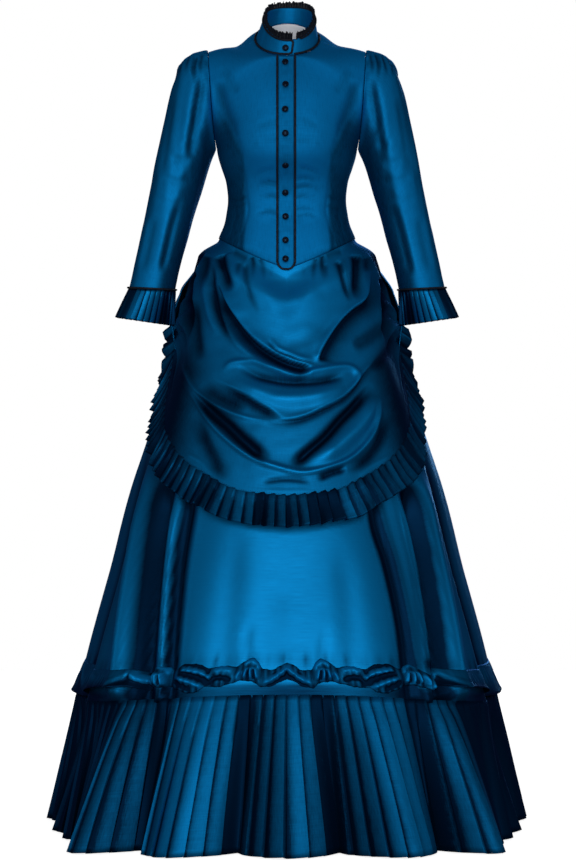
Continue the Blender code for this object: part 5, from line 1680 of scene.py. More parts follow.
@dataclass
class Overskirt:
    """The apron draped in swags, the puffed drape over the bustle, and their knife-pleated frills."""

    room: Workroom
    skirt: ClothGrid
    rows: int = 152
    apron_columns: int = 260
    drape_columns: int = 184
    seam_angle: float = 80.0
    frill_depth: float = 0.058
    frill_rows: int = 15
    apron_pleats: int = 66
    drape_pleats: int = 74
    climb: int = 45
    pleat_depth: float = 0.0090
    pleat_overlap: float = 0.0042
    stitch_pitch: float = 0.0042
    thread: float = 0.00030

    SWAGS = {
        "upper swag": Swag(
            seen((216, 282), (224, 300), (239, 323), (254, 340), (270, 352), (290, 361), (313, 367)),
            0.0060, 0.014, sink=0.0120, below=0.017, dark=0.95, shade=0.021, start=0.22, end=0.10),
        "ridge under the upper swag": Fold(
            seen((215, 300), (227, 330), (244, 350), (262, 361), (285, 372), (306, 376)), 0.0065, 0.0085),
        "trough down the right hip": Fold(
            seen((210, 260), (211, 290), (216, 312), (226, 333), (238, 347)),
            -0.0060, 0.0050, 0.0, 0.2, 0.4, 0.007, 0.75, 1.0),
        "ridge down the right hip": Fold(
            seen((200, 262), (203, 290), (208, 316), (219, 337)), 0.0045, 0.0070, 0.0, 0.3, 0.3),
        "hollow by the right seam": Fold(
            seen((192, 298), (194, 330), (199, 362)), -0.0060, 0.0080, 0.0, 0.3, 0.3, 0.012, 0.6, 1.0),
        "edge of the right side": Swag(
            seen((205, 249), (196, 262), (191.5, 280), (191, 300), (189, 326), (184, 352)),
            0.0045, 0.010, sink=0.0080, below=0.018, dark=0.80, shade=0.022, start=0.12, end=0.35),
        "edge of the left side": Swag(
            seen((390, 352), (385, 328), (383, 302), (383, 282), (378, 264), (370, 250)),
            0.0045, 0.010, sink=0.0080, below=0.018, dark=0.80, shade=0.022, start=0.35, end=0.12),
        "looped band": Fold(
            seen((223, 373), (231, 364), (252, 362), (270, 368), (296, 375), (318, 370), (345, 367),
                 (356, 372),
                 (357, 382), (345, 395)), 0.0055, 0.0052, 0.0, 0.15, 0.15),
        "trough in the looped band": Fold(
            seen((238, 366), (258, 376), (280, 381), (300, 382), (322, 380), (346, 375)),
            -0.0075, 0.0065, 0.0, 0.25, 0.15, 0.009, 0.62, 1.0),
        "roll of the looped band": Fold(
            seen((228, 379), (250, 389), (275, 397), (300, 398), (325, 394), (345, 385)), 0.0080, 0.0125),
        "middle swag on the right": Swag(
            seen((213, 379), (228, 387), (244, 395), (258, 403), (270, 410), (284, 420)),
            0.0035, 0.008, sink=0.0060, below=0.013, dark=0.85, shade=0.015, start=0.40, end=0.25),
        "middle swag up to the left": Swag(
            seen((268, 421), (285, 420), (302, 417), (320, 410), (340, 400), (353, 389), (363, 376),
                 (376, 362),
                 (390, 346)),
            0.0040, 0.009, sink=0.0060, below=0.007, dark=0.85, shade=0.0065, start=0.25, end=0.35),
        "long thin ridge": Fold(
            seen((180, 360), (189, 383), (204, 398), (225, 410), (247, 417), (273, 421)),
            0.0045, 0.0042, 0.0, 0.15, 0.3),
        "hollow over the long ridge": Fold(
            seen((200, 384), (222, 398), (246, 408)), -0.0040, 0.0100, 0.0, 0.3, 0.3, 0.015, 0.62, 1.0),
        "deepest trough": Fold(
            seen((192, 393), (209, 410), (226, 424), (241, 437), (255, 449), (268, 460)),
            -0.0130, 0.0100, 0.0, 0.22, 0.22, 0.014, 0.96, 1.0),
        "lowest fold from side to side": Fold(
            seen((183, 380), (196, 402), (215, 427), (238, 447), (260, 460), (282, 467), (302, 471),
                 (322, 468),
                 (345, 460), (361, 449), (373, 433), (379, 413), (381, 390)), 0.0070, 0.0048, 0.0, 0.12,
                 0.12),
        "roll at the lower left": Fold(
            seen((376, 394), (366, 416), (350, 435), (330, 451), (306, 463)), 0.0110, 0.0135, 0.0, 0.25, 0.3),
        "trough at the lower left": Fold(
            seen((373, 384), (356, 404), (340, 420), (325, 436), (308, 450), (292, 464)),
            -0.0115, 0.0080, 0.0, 0.2, 0.15, 0.011, 0.92, 1.0),
        "lower hollow on the right": Fold(
            seen((193, 412), (205, 440), (216, 462), (224, 480)),
            -0.0060, 0.0100, 0.0, 0.3, 0.3, 0.013, 0.6, 1.0),
        "lower hollow on the left": Fold(
            seen((388, 412), (380, 440), (366, 458), (346, 470)),
            -0.0060, 0.0080, 0.0, 0.3, 0.3, 0.011, 0.7, 1.0),
        "crease over the frill": Fold(
            seen((262, 480), (286, 477), (312, 480)), -0.0030, 0.0038, 0.0, 0.25, 0.25, 0.005, 0.5, 1.0),
        "ridge over the frill": Fold(seen((262, 488), (286, 489), (311, 488)), 0.0024, 0.0028),
        "short crease over the frill": Fold(
            seen((318, 477), (331, 471), (346, 467)), -0.0050, 0.0050, 0.0, 0.25, 0.25, 0.007, 0.7, 1.0),
        "ridge at the lower right": Fold(seen((214, 477), (200, 462), (184, 454)), 0.0035, 0.0048),
        "ridge at the lower left": Fold(seen((358, 477), (372, 465), (392, 456)), 0.0035, 0.0048),
        "edge of the left hip": Swag(
            seen((319, 361), (323, 350), (332, 334), (343, 320), (354, 309), (366, 301), (372, 288),
                 (373, 262)),
            0.0055, 0.010, sink=0.0085, below=0.017, dark=0.85, shade=0.024, start=0.08, end=0.30),
        "hollow under the left hip": Fold(
            seen((352, 345), (370, 338), (392, 322)), -0.0050, 0.0100, 0.0, 0.3, 0.3, 0.016, 0.5, 1.0),
        "hollow by the left seam": Fold(
            seen((372, 372), (390, 352), (400, 330)), -0.0045, 0.0090, 0.0, 0.3, 0.3, 0.012, 0.5, 1.0),
        "small crease in the middle": Fold(
            seen((268, 340), (276, 350), (290, 356), (303, 361), (322, 363)),
            -0.0028, 0.0030, 0.0014, 0.15, 0.3, 0.004, 0.55),
        "faint dip in the middle": Fold(
            seen((286, 345), (310, 340), (333, 322)), -0.0016, 0.0100, 0.0, 0.3, 0.3, 0.009, 0.22, 1.0),
    }
    GATHERS = {
        "pleat at the right hip": Fold(
            seen((219, 254), (223, 272), (229, 292)), -0.0080, 0.0085, 0.0030, 0.05, 0.35, 0.011, 0.90, 1.0),
        "pleat at the left hip": Fold(
            seen((358, 254), (359, 275), (357, 300)), -0.0080, 0.0085, 0.0, 0.05, 0.35, 0.011, 0.90, 1.0),
        "long gather on the right": Fold(
            seen((244, 262), (246, 284), (251, 300), (258, 313)),
            -0.0030, 0.0042, 0.0, 0.12, 0.5, 0.0065, 0.55, 1.0),
        "short gather on the right": Fold(
            seen((238, 262), (236, 275)), -0.0014, 0.0036, 0.0, 0.05, 0.6, 0.005, 0.45, 1.0),
        "outer gather right of the point": Fold(
            seen((252, 256), (253, 264), (251, 282)), -0.0010, 0.0034, 0.0, 0.02, 0.7, 0.0050, 0.75, 1.0),
        "inner gather right of the point": Fold(
            seen((260, 258), (263, 268), (264, 284)), -0.0009, 0.0034, 0.0, 0.02, 0.7, 0.0048, 0.55, 1.0),
        "pinch right of the point": Fold(
            seen((271, 266), (272, 276)), -0.0006, 0.0028, 0.0, 0.02, 0.7, 0.0036, 0.20, 1.0),
        "inner gather left of the point": Fold(
            seen((316, 258), (314, 270), (313, 284)), -0.0009, 0.0034, 0.0, 0.02, 0.7, 0.0050, 0.60, 1.0),
        "outer gather left of the point": Fold(
            seen((322, 255), (323, 268), (326, 282)), -0.0010, 0.0034, 0.0, 0.02, 0.7, 0.0050, 0.75, 1.0),
        "short gather on the left": Fold(
            seen((326, 264), (327, 278)), -0.0012, 0.0032, 0.0, 0.02, 0.7, 0.0046, 0.45, 1.0),
        "pinch left of the point": Fold(
            seen((304, 266), (303, 275)), -0.0006, 0.0028, 0.0, 0.02, 0.7, 0.0036, 0.20, 1.0),
        "long gather on the left": Fold(
            seen((339, 260), (344, 276), (352, 302)), -0.0045, 0.0050, 0.0010, 0.10, 0.3, 0.0080, 0.75, 1.0),
        "tuck by the right seam": Fold(
            seen((205, 254), (202, 272), (199, 292)), -0.0040, 0.0060, 0.0, 0.1, 0.5, 0.008, 0.6, 1.0),
        "tuck by the left seam": Fold(
            seen((369, 256), (371, 272)), -0.0040, 0.0060, 0.0, 0.1, 0.5, 0.008, 0.5, 1.0),
        "crease along the right seam": Fold(
            seen((232, 250), (240, 254), (247, 258)), -0.0010, 0.0040, 0.0, 0.2, 0.2, 0.006, 0.45, 1.0),
        "crease along the left seam": Fold(
            seen((326, 256), (334, 252), (343, 250)), -0.0010, 0.0040, 0.0, 0.2, 0.2, 0.006, 0.45, 1.0),
    }
    # At the hips the first direction is the way forward from the side seam
    HIPS = (
        Fold(((-0.010, -0.560), (0.030, -0.540), (0.075, -0.552), (0.125, -0.590)), -0.0080, 0.0085, 0.0060,
             0.05, 0.5),
        Fold(((-0.010, -0.545), (0.025, -0.508), (0.065, -0.500), (0.110, -0.520)), -0.0070, 0.0080, 0.0050,
             0.05, 0.5),
        Fold(((-0.010, -0.530), (0.014, -0.474), (0.046, -0.446), (0.085, -0.440)), -0.0060, 0.0075, 0.0040,
             0.05, 0.5),
        Fold(((-0.006, -0.510), (0.000, -0.450), (0.010, -0.405)), -0.0050, 0.0070, 0.0, 0.1, 0.4),
        Fold(((-0.010, -0.575), (0.026, -0.585), (0.070, -0.625), (0.115, -0.680)), -0.0065, 0.0080, 0.0045,
             0.05, 0.5),
    )
    # On the drape the first direction is the way to the wearer's left of the centre back
    BACK = (
        Fold(((-0.230, -0.500), (-0.120, -0.548), (0.010, -0.566), (0.140, -0.546), (0.240, -0.492)), -0.0130,
             0.0110, 0.0100),
        Fold(((-0.270, -0.540), (-0.150, -0.606), (-0.020, -0.634), (0.120, -0.616), (0.280, -0.548)),
             -0.0140, 0.0120, 0.0110),
        Fold(((-0.300, -0.570), (-0.170, -0.668), (0.000, -0.706), (0.160, -0.672), (0.300, -0.574)), -0.0130,
             0.0120, 0.0100),
        Fold(((-0.290, -0.615), (-0.150, -0.724), (0.020, -0.760), (0.180, -0.716), (0.290, -0.618)), -0.0090,
             0.0100, 0.0060),
        Fold(((-0.160, -0.455), (-0.080, -0.482), (0.000, -0.492), (0.090, -0.480), (0.170, -0.452)), -0.0080,
             0.0100, 0.0060),
        Fold(((-0.060, -0.345), (-0.085, -0.400), (-0.120, -0.450)), -0.0050, 0.0080, 0.0020, 0.05, 0.5),
        Fold(((-0.030, -0.345), (-0.040, -0.400), (-0.060, -0.455)), -0.0048, 0.0075, 0.0020, 0.05, 0.5),
        Fold(((0.005, -0.345), (0.010, -0.405), (0.004, -0.460)), -0.0050, 0.0080, 0.0020, 0.05, 0.5),
        Fold(((0.038, -0.345), (0.050, -0.400), (0.072, -0.455)), -0.0046, 0.0075, 0.0020, 0.05, 0.5),
        Fold(((0.070, -0.350), (0.095, -0.404), (0.130, -0.448)), -0.0050, 0.0080, 0.0020, 0.05, 0.5),
        Fold(((-0.110, -0.352), (-0.150, -0.405), (-0.200, -0.450)), -0.0046, 0.0080, 0.0, 0.05, 0.5),
        Fold(((0.115, -0.352), (0.150, -0.402), (0.205, -0.446)), -0.0046, 0.0080, 0.0, 0.05, 0.5),
        Fold(((-0.440, -0.545), (-0.390, -0.500), (-0.320, -0.470)), -0.0070, 0.0090, 0.0040, 0.05, 0.5),
        Fold(((0.440, -0.545), (0.390, -0.505), (0.325, -0.468)), -0.0070, 0.0090, 0.0, 0.05, 0.5),
        Fold(((-0.440, -0.565), (-0.380, -0.560), (-0.310, -0.590)), -0.0075, 0.0090, 0.0040, 0.05, 0.5),
        Fold(((0.440, -0.565), (0.380, -0.556), (0.310, -0.584)), -0.0075, 0.0090, 0.0, 0.05, 0.5),
    )

    def resting(self, points: Points, gap: Points | float) -> Points:
        """Return points moved straight out until they lie clear of the skirt beneath.

        Args:
            points: Rows of points.
            gap: How far clear of the skirt each row lies at least.
        """
        skirt = self.skirt.points - np.array((0.0, AXIS_Y, 0.0))
        bearings, reaches = np.arctan2(skirt[..., 0], -skirt[..., 1]), np.hypot(skirt[..., 0], skirt[..., 1])
        aside, ahead = points[..., 0].ravel(), points[..., 1].ravel() - AXIS_Y
        bearing, reach = np.arctan2(aside, -ahead), np.hypot(aside, ahead)
        rings = [[np.interp(bearing, around, values, period=math.tau) for values in (out, level)]
                 for around, out, level in zip(bearings, reaches, skirt[..., 2])]
        outs, levels = np.array(rings)[::-1].transpose(1, 2, 0)
        own = points[..., 2].ravel()
        below = np.array([np.interp(height, level, out) for height, level, out in zip(own, levels, outs)])
        need = (below.reshape(points.shape[:-1]) + gap) / reach.reshape(points.shape[:-1])
        far = np.maximum(need, 1.0)
        moved = points.copy()
        moved[..., 0] *= far
        moved[..., 1] = AXIS_Y + (moved[..., 1] - AXIS_Y) * far
        return moved

    def heights(self, angle: Points) -> Points:
        """Return rows of heights from the tucked top to the edge."""
        top = BODICE.hem(angle) + SKIRT.tuck
        return mix(top, SKIRT.edge(angle), np.linspace(0, 1, self.rows)[:, None])

    def clear(self, angle: Points, height: Points, edge: float = 0.030) -> Points:
        """Return 0 where a layer must lie close, at its tucked top and its sewn edge, and 1 between."""
        top = ease((BODICE.hem(angle) - height - 0.001) / 0.016)
        return top * (0.25 + 0.75 * ease((height - SKIRT.edge(angle)) / edge))

    def apron(self) -> ClothGrid:
        """Return the dressed apron."""
        angle = np.broadcast_to(np.linspace(-self.seam_angle, self.seam_angle, self.apron_columns + 1),
                                (self.rows, self.apron_columns + 1))
        height = self.heights(angle[0])
        below = BODICE.hem(angle) - height
        hips = ease((np.abs(angle) - 48) / 22)
        free = 0.003 + 0.011 * ease((below + 0.22 * ease(np.abs(angle) / 40) - 0.01) / 0.09)
        free += 0.008 * ease((-0.56 - height) / 0.12)
        free -= 0.016 * ease((np.abs(angle) - 46) / 22) * ease((-0.50 - height) / 0.1)
        free += hips * 0.016 * np.exp(-((height + 0.368) / 0.018) ** 2)
        points = SKIRT.hip(angle, height, TUCKED, free)
        grid = ClothGrid(points, INSIDE_THE_HIPS)
        across = points[..., 0]
        forward = np.radians(self.seam_angle - np.abs(angle)) * 0.27
        lift, shade = laid((*self.SWAGS.values(), *self.GATHERS.values()), across, height)
        near_hip = ease((np.abs(angle) - 30) / 16)
        lift = lift * (1 - 0.6 * ease((np.abs(angle) - 58) / 14))
        lift += folded(self.HIPS, forward, height + 0.006 * np.sign(angle)) * near_hip
        soft = 0.0020 * ripple(across * 21 + height * 9, 41) * ripple(height * 34 - across * 8, 42)
        seams = ease((self.seam_angle - np.abs(angle)) / 3.0)
        grid.push((lift + soft) * self.clear(angle, height) * mix(0.35, 1.0, seams), 0.0135)
        # Painted shade on the sides, where the cloth turns from the light, and lower down; painted highlights
        # on the upper middle and on raised folds.
        low = ease((-0.52 - height) / 0.10)
        painted_flank_shade = mix(0.14, 0.74, low) * ease((np.abs(angle) - mix(44, 27, low)) / 22)
        dim = 0.16 * ease((-0.60 - height) / 0.10)
        painted_highlight = 0.24 * np.exp(-(across / 0.085) ** 2 - ((height + 0.485) / 0.060) ** 2)
        painted_highlight += 0.22 * np.exp(-(across / 0.125) ** 2 - ((height + 0.452) / 0.026) ** 2)
        painted_light = 0.26 * np.clip(lift / 0.007, 0, 1) + painted_highlight
        grid.painted_shade = 1 - (1 - grid.painted_shade * 0.3) * (1 - shade) * (1 - painted_flank_shade) * (1 - dim) - painted_light
        grid.calm = np.full(height.shape, 0.4)
        grid.points = self.resting(grid.points, REST_GAP)
        return grid

    def drape(self) -> ClothGrid:
        """Return the dressed drape over the bustle."""
        start, end = self.seam_angle + 0.15, 360 - self.seam_angle - 0.15
        angle = np.broadcast_to(np.linspace(start, end, self.drape_columns + 1),
                                (self.rows, self.drape_columns + 1))
        height = self.heights(angle[0])
        swell = ease((-0.415 - height) / 0.05)
        puffs = 0.010 * np.sin((height + 0.46) / 0.105 * math.tau) * ease((-0.46 - height) / 0.05)
        back = ease((100 - np.abs(angle - 180)) / 30)
        low = ease((-0.62 - height) / 0.16)
        free = mix(0.008, 0.024, swell) + puffs * back * (1 - low) + 0.010 * low
        free -= 0.028 * ease((np.abs(angle - 180) - 36) / 22) * ease((-0.50 - height) / 0.1)
        points = SKIRT.hip(angle, height, TUCKED, free)
        grid = ClothGrid(points, INSIDE_THE_HIPS)
        across = (180 - angle) * 0.0045
        lift = folded(self.BACK, across, height)
        lift += 0.0022 * ripple(across * 16 + height * 8, 45) * ripple(height * 30 - across * 5, 46)
        seams = ease((100 - np.abs(angle - 180)) / 3.0)
        grid.push(lift * self.clear(angle, height) * mix(0.35, 1.0, seams), 0.0140)
        grid.points = self.resting(grid.points, REST_GAP)
        return grid

    def frill(self, grid: ClothGrid, pleats: int, climb: int) -> ClothGrid:
        """Return the smooth strip that hangs from a layer's edge, ready to be pleated.

        Args:
            grid: The layer above.
            pleats: How many pleats it is to take.
            climb: How many of the layer's rows the strip climbs up each side.
        """
        rows, columns = self.frill_rows, pleats * STEPS_IN_A_PLEAT + 1
        up = slice(-1 - climb, -1)
        path = np.concatenate([grid.points[up, 0], grid.points[-1], grid.points[up, -1][::-1]])
        inner = np.concatenate([grid.points[up, 8], grid.points[-9], grid.points[up, -9][::-1]])
        length = np.concatenate([[0], np.cumsum(np.linalg.norm(np.diff(path, axis=0), axis=1))])
        share = np.linspace(0, 1, columns)
        place = share * length[-1]
        edge, above = (np.stack([np.interp(place, length, line[:, axis]) for axis in range(3)], axis=-1)
                       for line in (path, inner))
        corner = length[climb]
        climbing = ease((corner - np.minimum(place, length[-1] - place)) / 0.03 + 0.5)[:, None] * (climb > 0)
        down = unit(edge - above)
        run = unit(np.gradient(edge, axis=0))
        square = unit(down - run * np.sum(down * run, axis=-1)[:, None])
        out = np.cross(run, square)
        facing = np.sum(out * (edge - np.array((0.0, AXIS_Y, 0.0))) * np.array((1.0, 1.0, 0.0)), axis=-1,
                        keepdims=True)
        out = np.where(facing > 0, out, -out)
        near_end = 1 - (np.minimum(place, length[-1] - place) - corner) / 0.16
        plumb = mix(0.40, 0.72, ease(near_end))[:, None]
        way = unit(mix(square, np.array((0.0, 0.0, -1.0)), plumb))
        aside = unit(0.50 * square + 0.34 * out + np.array((0.0, 0.0, -0.62)))
        way = unit(mix(way, aside, climbing))
        drop = np.linspace(0, 1, rows)[:, None, None]
        depth = self.frill_depth * (1 + 0.04 * ripple(share * 40, 51))[:, None] * (1 - 0.50 * climbing)
        close = 1 - 0.20 * ease(near_end)[:, None]
        kick = 0.0004 + (0.0085 * drop ** 1.4 + 0.0022 * drop * ripple(share * 26, 52)[:, None]) * close
        points = edge + square * 0.0009 + way * depth * drop + out * kick
        points[0] = edge - square * 0.005 - out * 0.0022
        points[1] = edge + square * 0.0012
        gap = np.linspace(0.0040, 0.0100, rows)[:, None]
        gap[0] = 0.0010
        points = self.resting(points, gap)
        strip = ClothGrid(points, INSIDE_THE_HIPS)
        strip.calm = np.full((rows, columns), 0.5)
        # Painted shade over the whole frill, uneven along it.
        strip.painted_shade = np.broadcast_to(0.48 + 0.16 * ripple(share * 50, 53), (rows, columns)).clip(0, 1)
        return strip

    def build(self) -> None:
        """Make the apron, the drape and the frill of each."""
        layers = (("apron", self.apron(), self.apron_pleats, self.climb, 11.0),
                  ("bustle_drape", self.drape(), self.drape_pleats, 0, 13.0))
        for label, grid, pleats, climb, seed in layers:
            upper = self.room.cloth(grid, f"{label}_satin", SATIN, Held.DRAPED, [label],
                                    ["underskirt_satin", "bodice_front_left_satin"])
            node = "apron_frill" if label == "apron" else "drape_frill"
            strip = self.frill(grid, pleats, climb)
            pleating = Pleating(pleats, self.pleat_depth, self.pleat_overlap, head=0.16, flare=0.006,
                                ridge=0.75, uneven=0.50, seed=seed)
            columns = strip.points.shape[1]
            ends = np.minimum(np.linspace(0, 1, columns), np.linspace(1, 0, columns))
            piece = pleating.lay(strip, f"{node}_satin", SATIN, fullness=mix(0.40, 1.0, ease(ends / 0.14)))
            self.room.fit(piece, SATIN, [node])
            self.room.declare(piece, pleating.cut(strip), Held.GATHERED, [upper.name])
            seam = grid.points[-2] + grid.normals()[-2] * 0.0004
            thread = STITCHES.run(carrier(f"{node}_stitches", seam), BRAID,
                                  {"Pitch": self.stitch_pitch, "Thread": self.thread})
            self.room.fit(thread, BRAID)


# ---------------------------------------------------------------- underskirt

@dataclass(frozen=True)
class Gather:
    """One motif of the ruched band: where it lies in the repeat, its edges, its bulge and its creases."""

    place: float
    top: float
    bottom: float
    bulge: float
    creases: Sequence[Fold] = ()


@dataclass
class Ruche:
    """The narrow ruched band: bows, rosettes, puffs and twisted leaves, pinched close together."""

    skirt: ClothGrid
    repeats: int = 9
    columns: int = 1500
    rows: int = 18
    pucker: float = 0.0115
    above: float = 0.046
    period: float = 0.2775

    BOW = (
        Fold(((-0.046, -0.021), (-0.024, -0.008), (0.0, 0.008), (0.023, -0.009), (0.046, -0.021)), 0.0070,
             0.0050),
        Fold(((-0.044, -0.028), (-0.020, -0.019), (0.001, -0.007), (0.021, -0.020), (0.044, -0.027)), -0.0060,
             0.0040),
        Fold(((-0.003, 0.014), (-0.001, 0.000), (0.001, -0.010)), -0.0040, 0.0026),
        Fold(((-0.030, -0.004), (-0.014, 0.004), (-0.004, 0.012)), -0.0030, 0.0026),
        Fold(((0.030, -0.005), (0.014, 0.003), (0.004, 0.012)), -0.0030, 0.0026))
    ROSETTE = (
        Fold(((-0.016, 0.004), (-0.009, 0.017), (0.003, 0.021), (0.014, 0.013)), 0.0050, 0.0032),
        Fold(((-0.012, -0.012), (-0.009, 0.000), (-0.006, 0.010)), 0.0048, 0.0026),
        Fold(((-0.002, -0.015), (0.000, -0.001), (0.001, 0.011)), 0.0050, 0.0024),
        Fold(((0.010, -0.011), (0.008, 0.001), (0.006, 0.010)), 0.0046, 0.0026),
        Fold(((-0.006, -0.012), (-0.004, 0.008)), -0.0046, 0.0020),
        Fold(((0.005, -0.013), (0.004, 0.009)), -0.0046, 0.0020),
        Fold(((0.016, 0.006), (0.022, -0.006), (0.018, -0.014)), 0.0040, 0.0030))
    PUFF = (
        Fold(((-0.019, 0.002), (-0.003, 0.007), (0.016, 0.001)), 0.0046, 0.0046),
        Fold(((-0.020, -0.014), (0.000, -0.009), (0.019, -0.016)), -0.0050, 0.0032),
        Fold(((-0.022, 0.010), (-0.006, 0.013)), -0.0030, 0.0026),
        Fold(((0.020, 0.008), (0.022, -0.006)), -0.0046, 0.0030))
    LEAF = (
        Fold(((-0.034, -0.008), (-0.012, 0.005), (0.022, 0.010)), 0.0062, 0.0030),
        Fold(((-0.026, -0.025), (0.000, -0.013), (0.030, -0.005)), 0.0060, 0.0028),
        Fold(((-0.012, 0.000), (0.010, 0.007), (0.026, 0.004)), 0.0030, 0.0018),
        Fold(((-0.034, -0.017), (-0.004, -0.003), (0.030, 0.003)), -0.0080, 0.0036),
        Fold(((-0.022, 0.010), (0.004, 0.018), (0.024, 0.017)), -0.0056, 0.0030),
        Fold(((0.000, -0.026), (0.020, -0.018), (0.034, -0.011)), -0.0060, 0.0028))
    GATHERS = (
        Gather(0.0, 0.015, -0.013, 0.0085, BOW), Gather(0.012, 0.011, -0.017, 0.0080),
        Gather(0.028, 0.002, -0.026, 0.0065),
        Gather(0.042, 0.004, -0.027, 0.0055), Gather(0.052, 0.018, -0.019, 0.0100),
        Gather(0.0625, 0.024, -0.016, 0.0125, ROSETTE),
        Gather(0.074, 0.018, -0.015, 0.0095), Gather(0.088, 0.009, -0.018, 0.0055),
        Gather(0.112, 0.012, -0.023, 0.0095, PUFF),
        Gather(0.134, 0.009, -0.022, 0.0055), Gather(0.145, 0.016, -0.029, 0.0090),
        Gather(0.157, 0.019, -0.031, 0.0100, LEAF),
        Gather(0.174, 0.018, -0.028, 0.0090), Gather(0.192, 0.010, -0.020, 0.0055),
        Gather(0.203, 0.016, -0.017, 0.0095),
        Gather(0.2135, 0.020, -0.015, 0.0120, ROSETTE), Gather(0.226, 0.014, -0.017, 0.0085),
        Gather(0.244, 0.002, -0.025, 0.0060),
        Gather(0.262, 0.008, -0.019, 0.0075))

    def grid(self) -> ClothGrid:
        """Return the band upon the skirt."""
        place = np.linspace(0, 1, self.columns, endpoint=False)
        angle = SKIRT.even_angles(SKIRT.flounce_top, place)
        around = (place + 0.5) % 1.0 - 0.5
        run = np.abs(around) * self.repeats * self.period
        local = run % self.period
        keys = [gather.place for gather in self.GATHERS] + [self.period]
        ring = self.GATHERS + (self.GATHERS[0],)
        drift = 0.0022 * ripple(around * 60, 71) + 0.0012 * ripple(around * 260, 74)
        top = Profile(keys, [gather.top for gather in ring])(local) + drift
        bottom = Profile(keys, [gather.bottom for gather in ring])(local) + drift
        bulge = Profile(keys, [gather.bulge for gather in ring])(local)
        turned = np.abs((angle + 180) % 360 - 180)
        aside = ease((turned - 35) / 9) * ease((128 - turned) / 14)
        hanging = mix(-0.012, -0.027, ease((turned - 60) / 16))
        top, bottom, bulge = mix(top, 0.016, aside), mix(bottom, hanging, aside), mix(bulge, 0.0060, aside)
        share = np.linspace(0, 1, self.rows)[:, None]
        rise = mix(bottom, top, share)
        phase = run / self.pucker * math.tau + 1.6 * ripple(run * 60, 72) + 26 * rise * np.sign(around)
        crease = 1.25 * self.creases(run, around,
                                     rise) + 0.0016 * np.sin(phase) * (0.4 + 0.6 * ripple(run * 45, 73) ** 2)
        crease = crease * (1 - 0.88 * aside)
        height = SKIRT.seam(angle) + self.above + rise
        height = height - 0.010 * aside * ease((turned - 50) / 30) * (1 - share) ** 2
        base = self.on_skirt(place, height)
        arch = (4 * share * (1 - share)) ** 1.1
        lift = 0.0014 + 0.52 * bulge * arch + crease * np.clip(arch * 1.4, 0, 1)
        flare = 0.012 * aside * (1 - share) ** 3
        way = SKIRT.form(np.broadcast_to(angle, height.shape), height)[1]
        grid = ClothGrid(base + way * (np.maximum(lift, 0.0012) + flare)[..., None], (0.0, 0.08, -1.1),
                         closed=True)
        # Painted shadow over the band; creases paint highlights on their ridges and shade in their troughs,
        # with more painted shade along the band's edges.
        shadow = mix(0.58, 0.36 + 0.40 * (1 - share) ** 3, aside)
        grid.painted_shade = np.clip(shadow - 230 * crease + 0.14 * (1 - arch) * (1 - aside), -0.22, 0.97)
        grid.calm = 0.75 * (1 - aside) * np.ones(rise.shape)
        return grid

    def on_skirt(self, place: Points, height: Points) -> Points:
        """Return points of the skirt at shares of the way around and heights."""
        ring = self.skirt.points
        count = ring.shape[1]
        at = place * count
        index, part = at.astype(int) % count, (at % 1)[:, None]
        loops = mix(ring[:, index], ring[:, (index + 1) % count], part)
        found = np.empty((*height.shape, 3))
        for number in range(height.shape[1]):
            line = loops[::-1, number]
            for axis in range(3):
                found[:, number, axis] = np.interp(height[:, number], line[:, 2], line[:, axis])
        return found

    def creases(self, run: Points, around: Points, rise: Points) -> Points:
        """Return the lift of every motif's creases, each a little different."""
        total = np.zeros(rise.shape)
        rng = np.random.RandomState(17)
        for side in (-1, 1):
            for repeat in range(self.repeats // 2 + 1):
                for gather in self.GATHERS:
                    middle = gather.place + repeat * self.period
                    scale, shift = rng.uniform(0.75, 1.25), rng.uniform(-0.003, 0.003)
                    lean = rng.uniform(-0.12, 0.12)
                    if not gather.creases or (middle == 0 and side < 0):
                        continue
                    away = np.where(np.sign(around) == side, run - middle, -run - middle)
                    near = np.abs(away) < 0.055
                    across = np.broadcast_to(away[near], (len(rise), near.sum()))
                    up = rise[:, near] + shift + lean * across
                    total[:, near] += folded(gather.creases, across, up) * scale
        return total


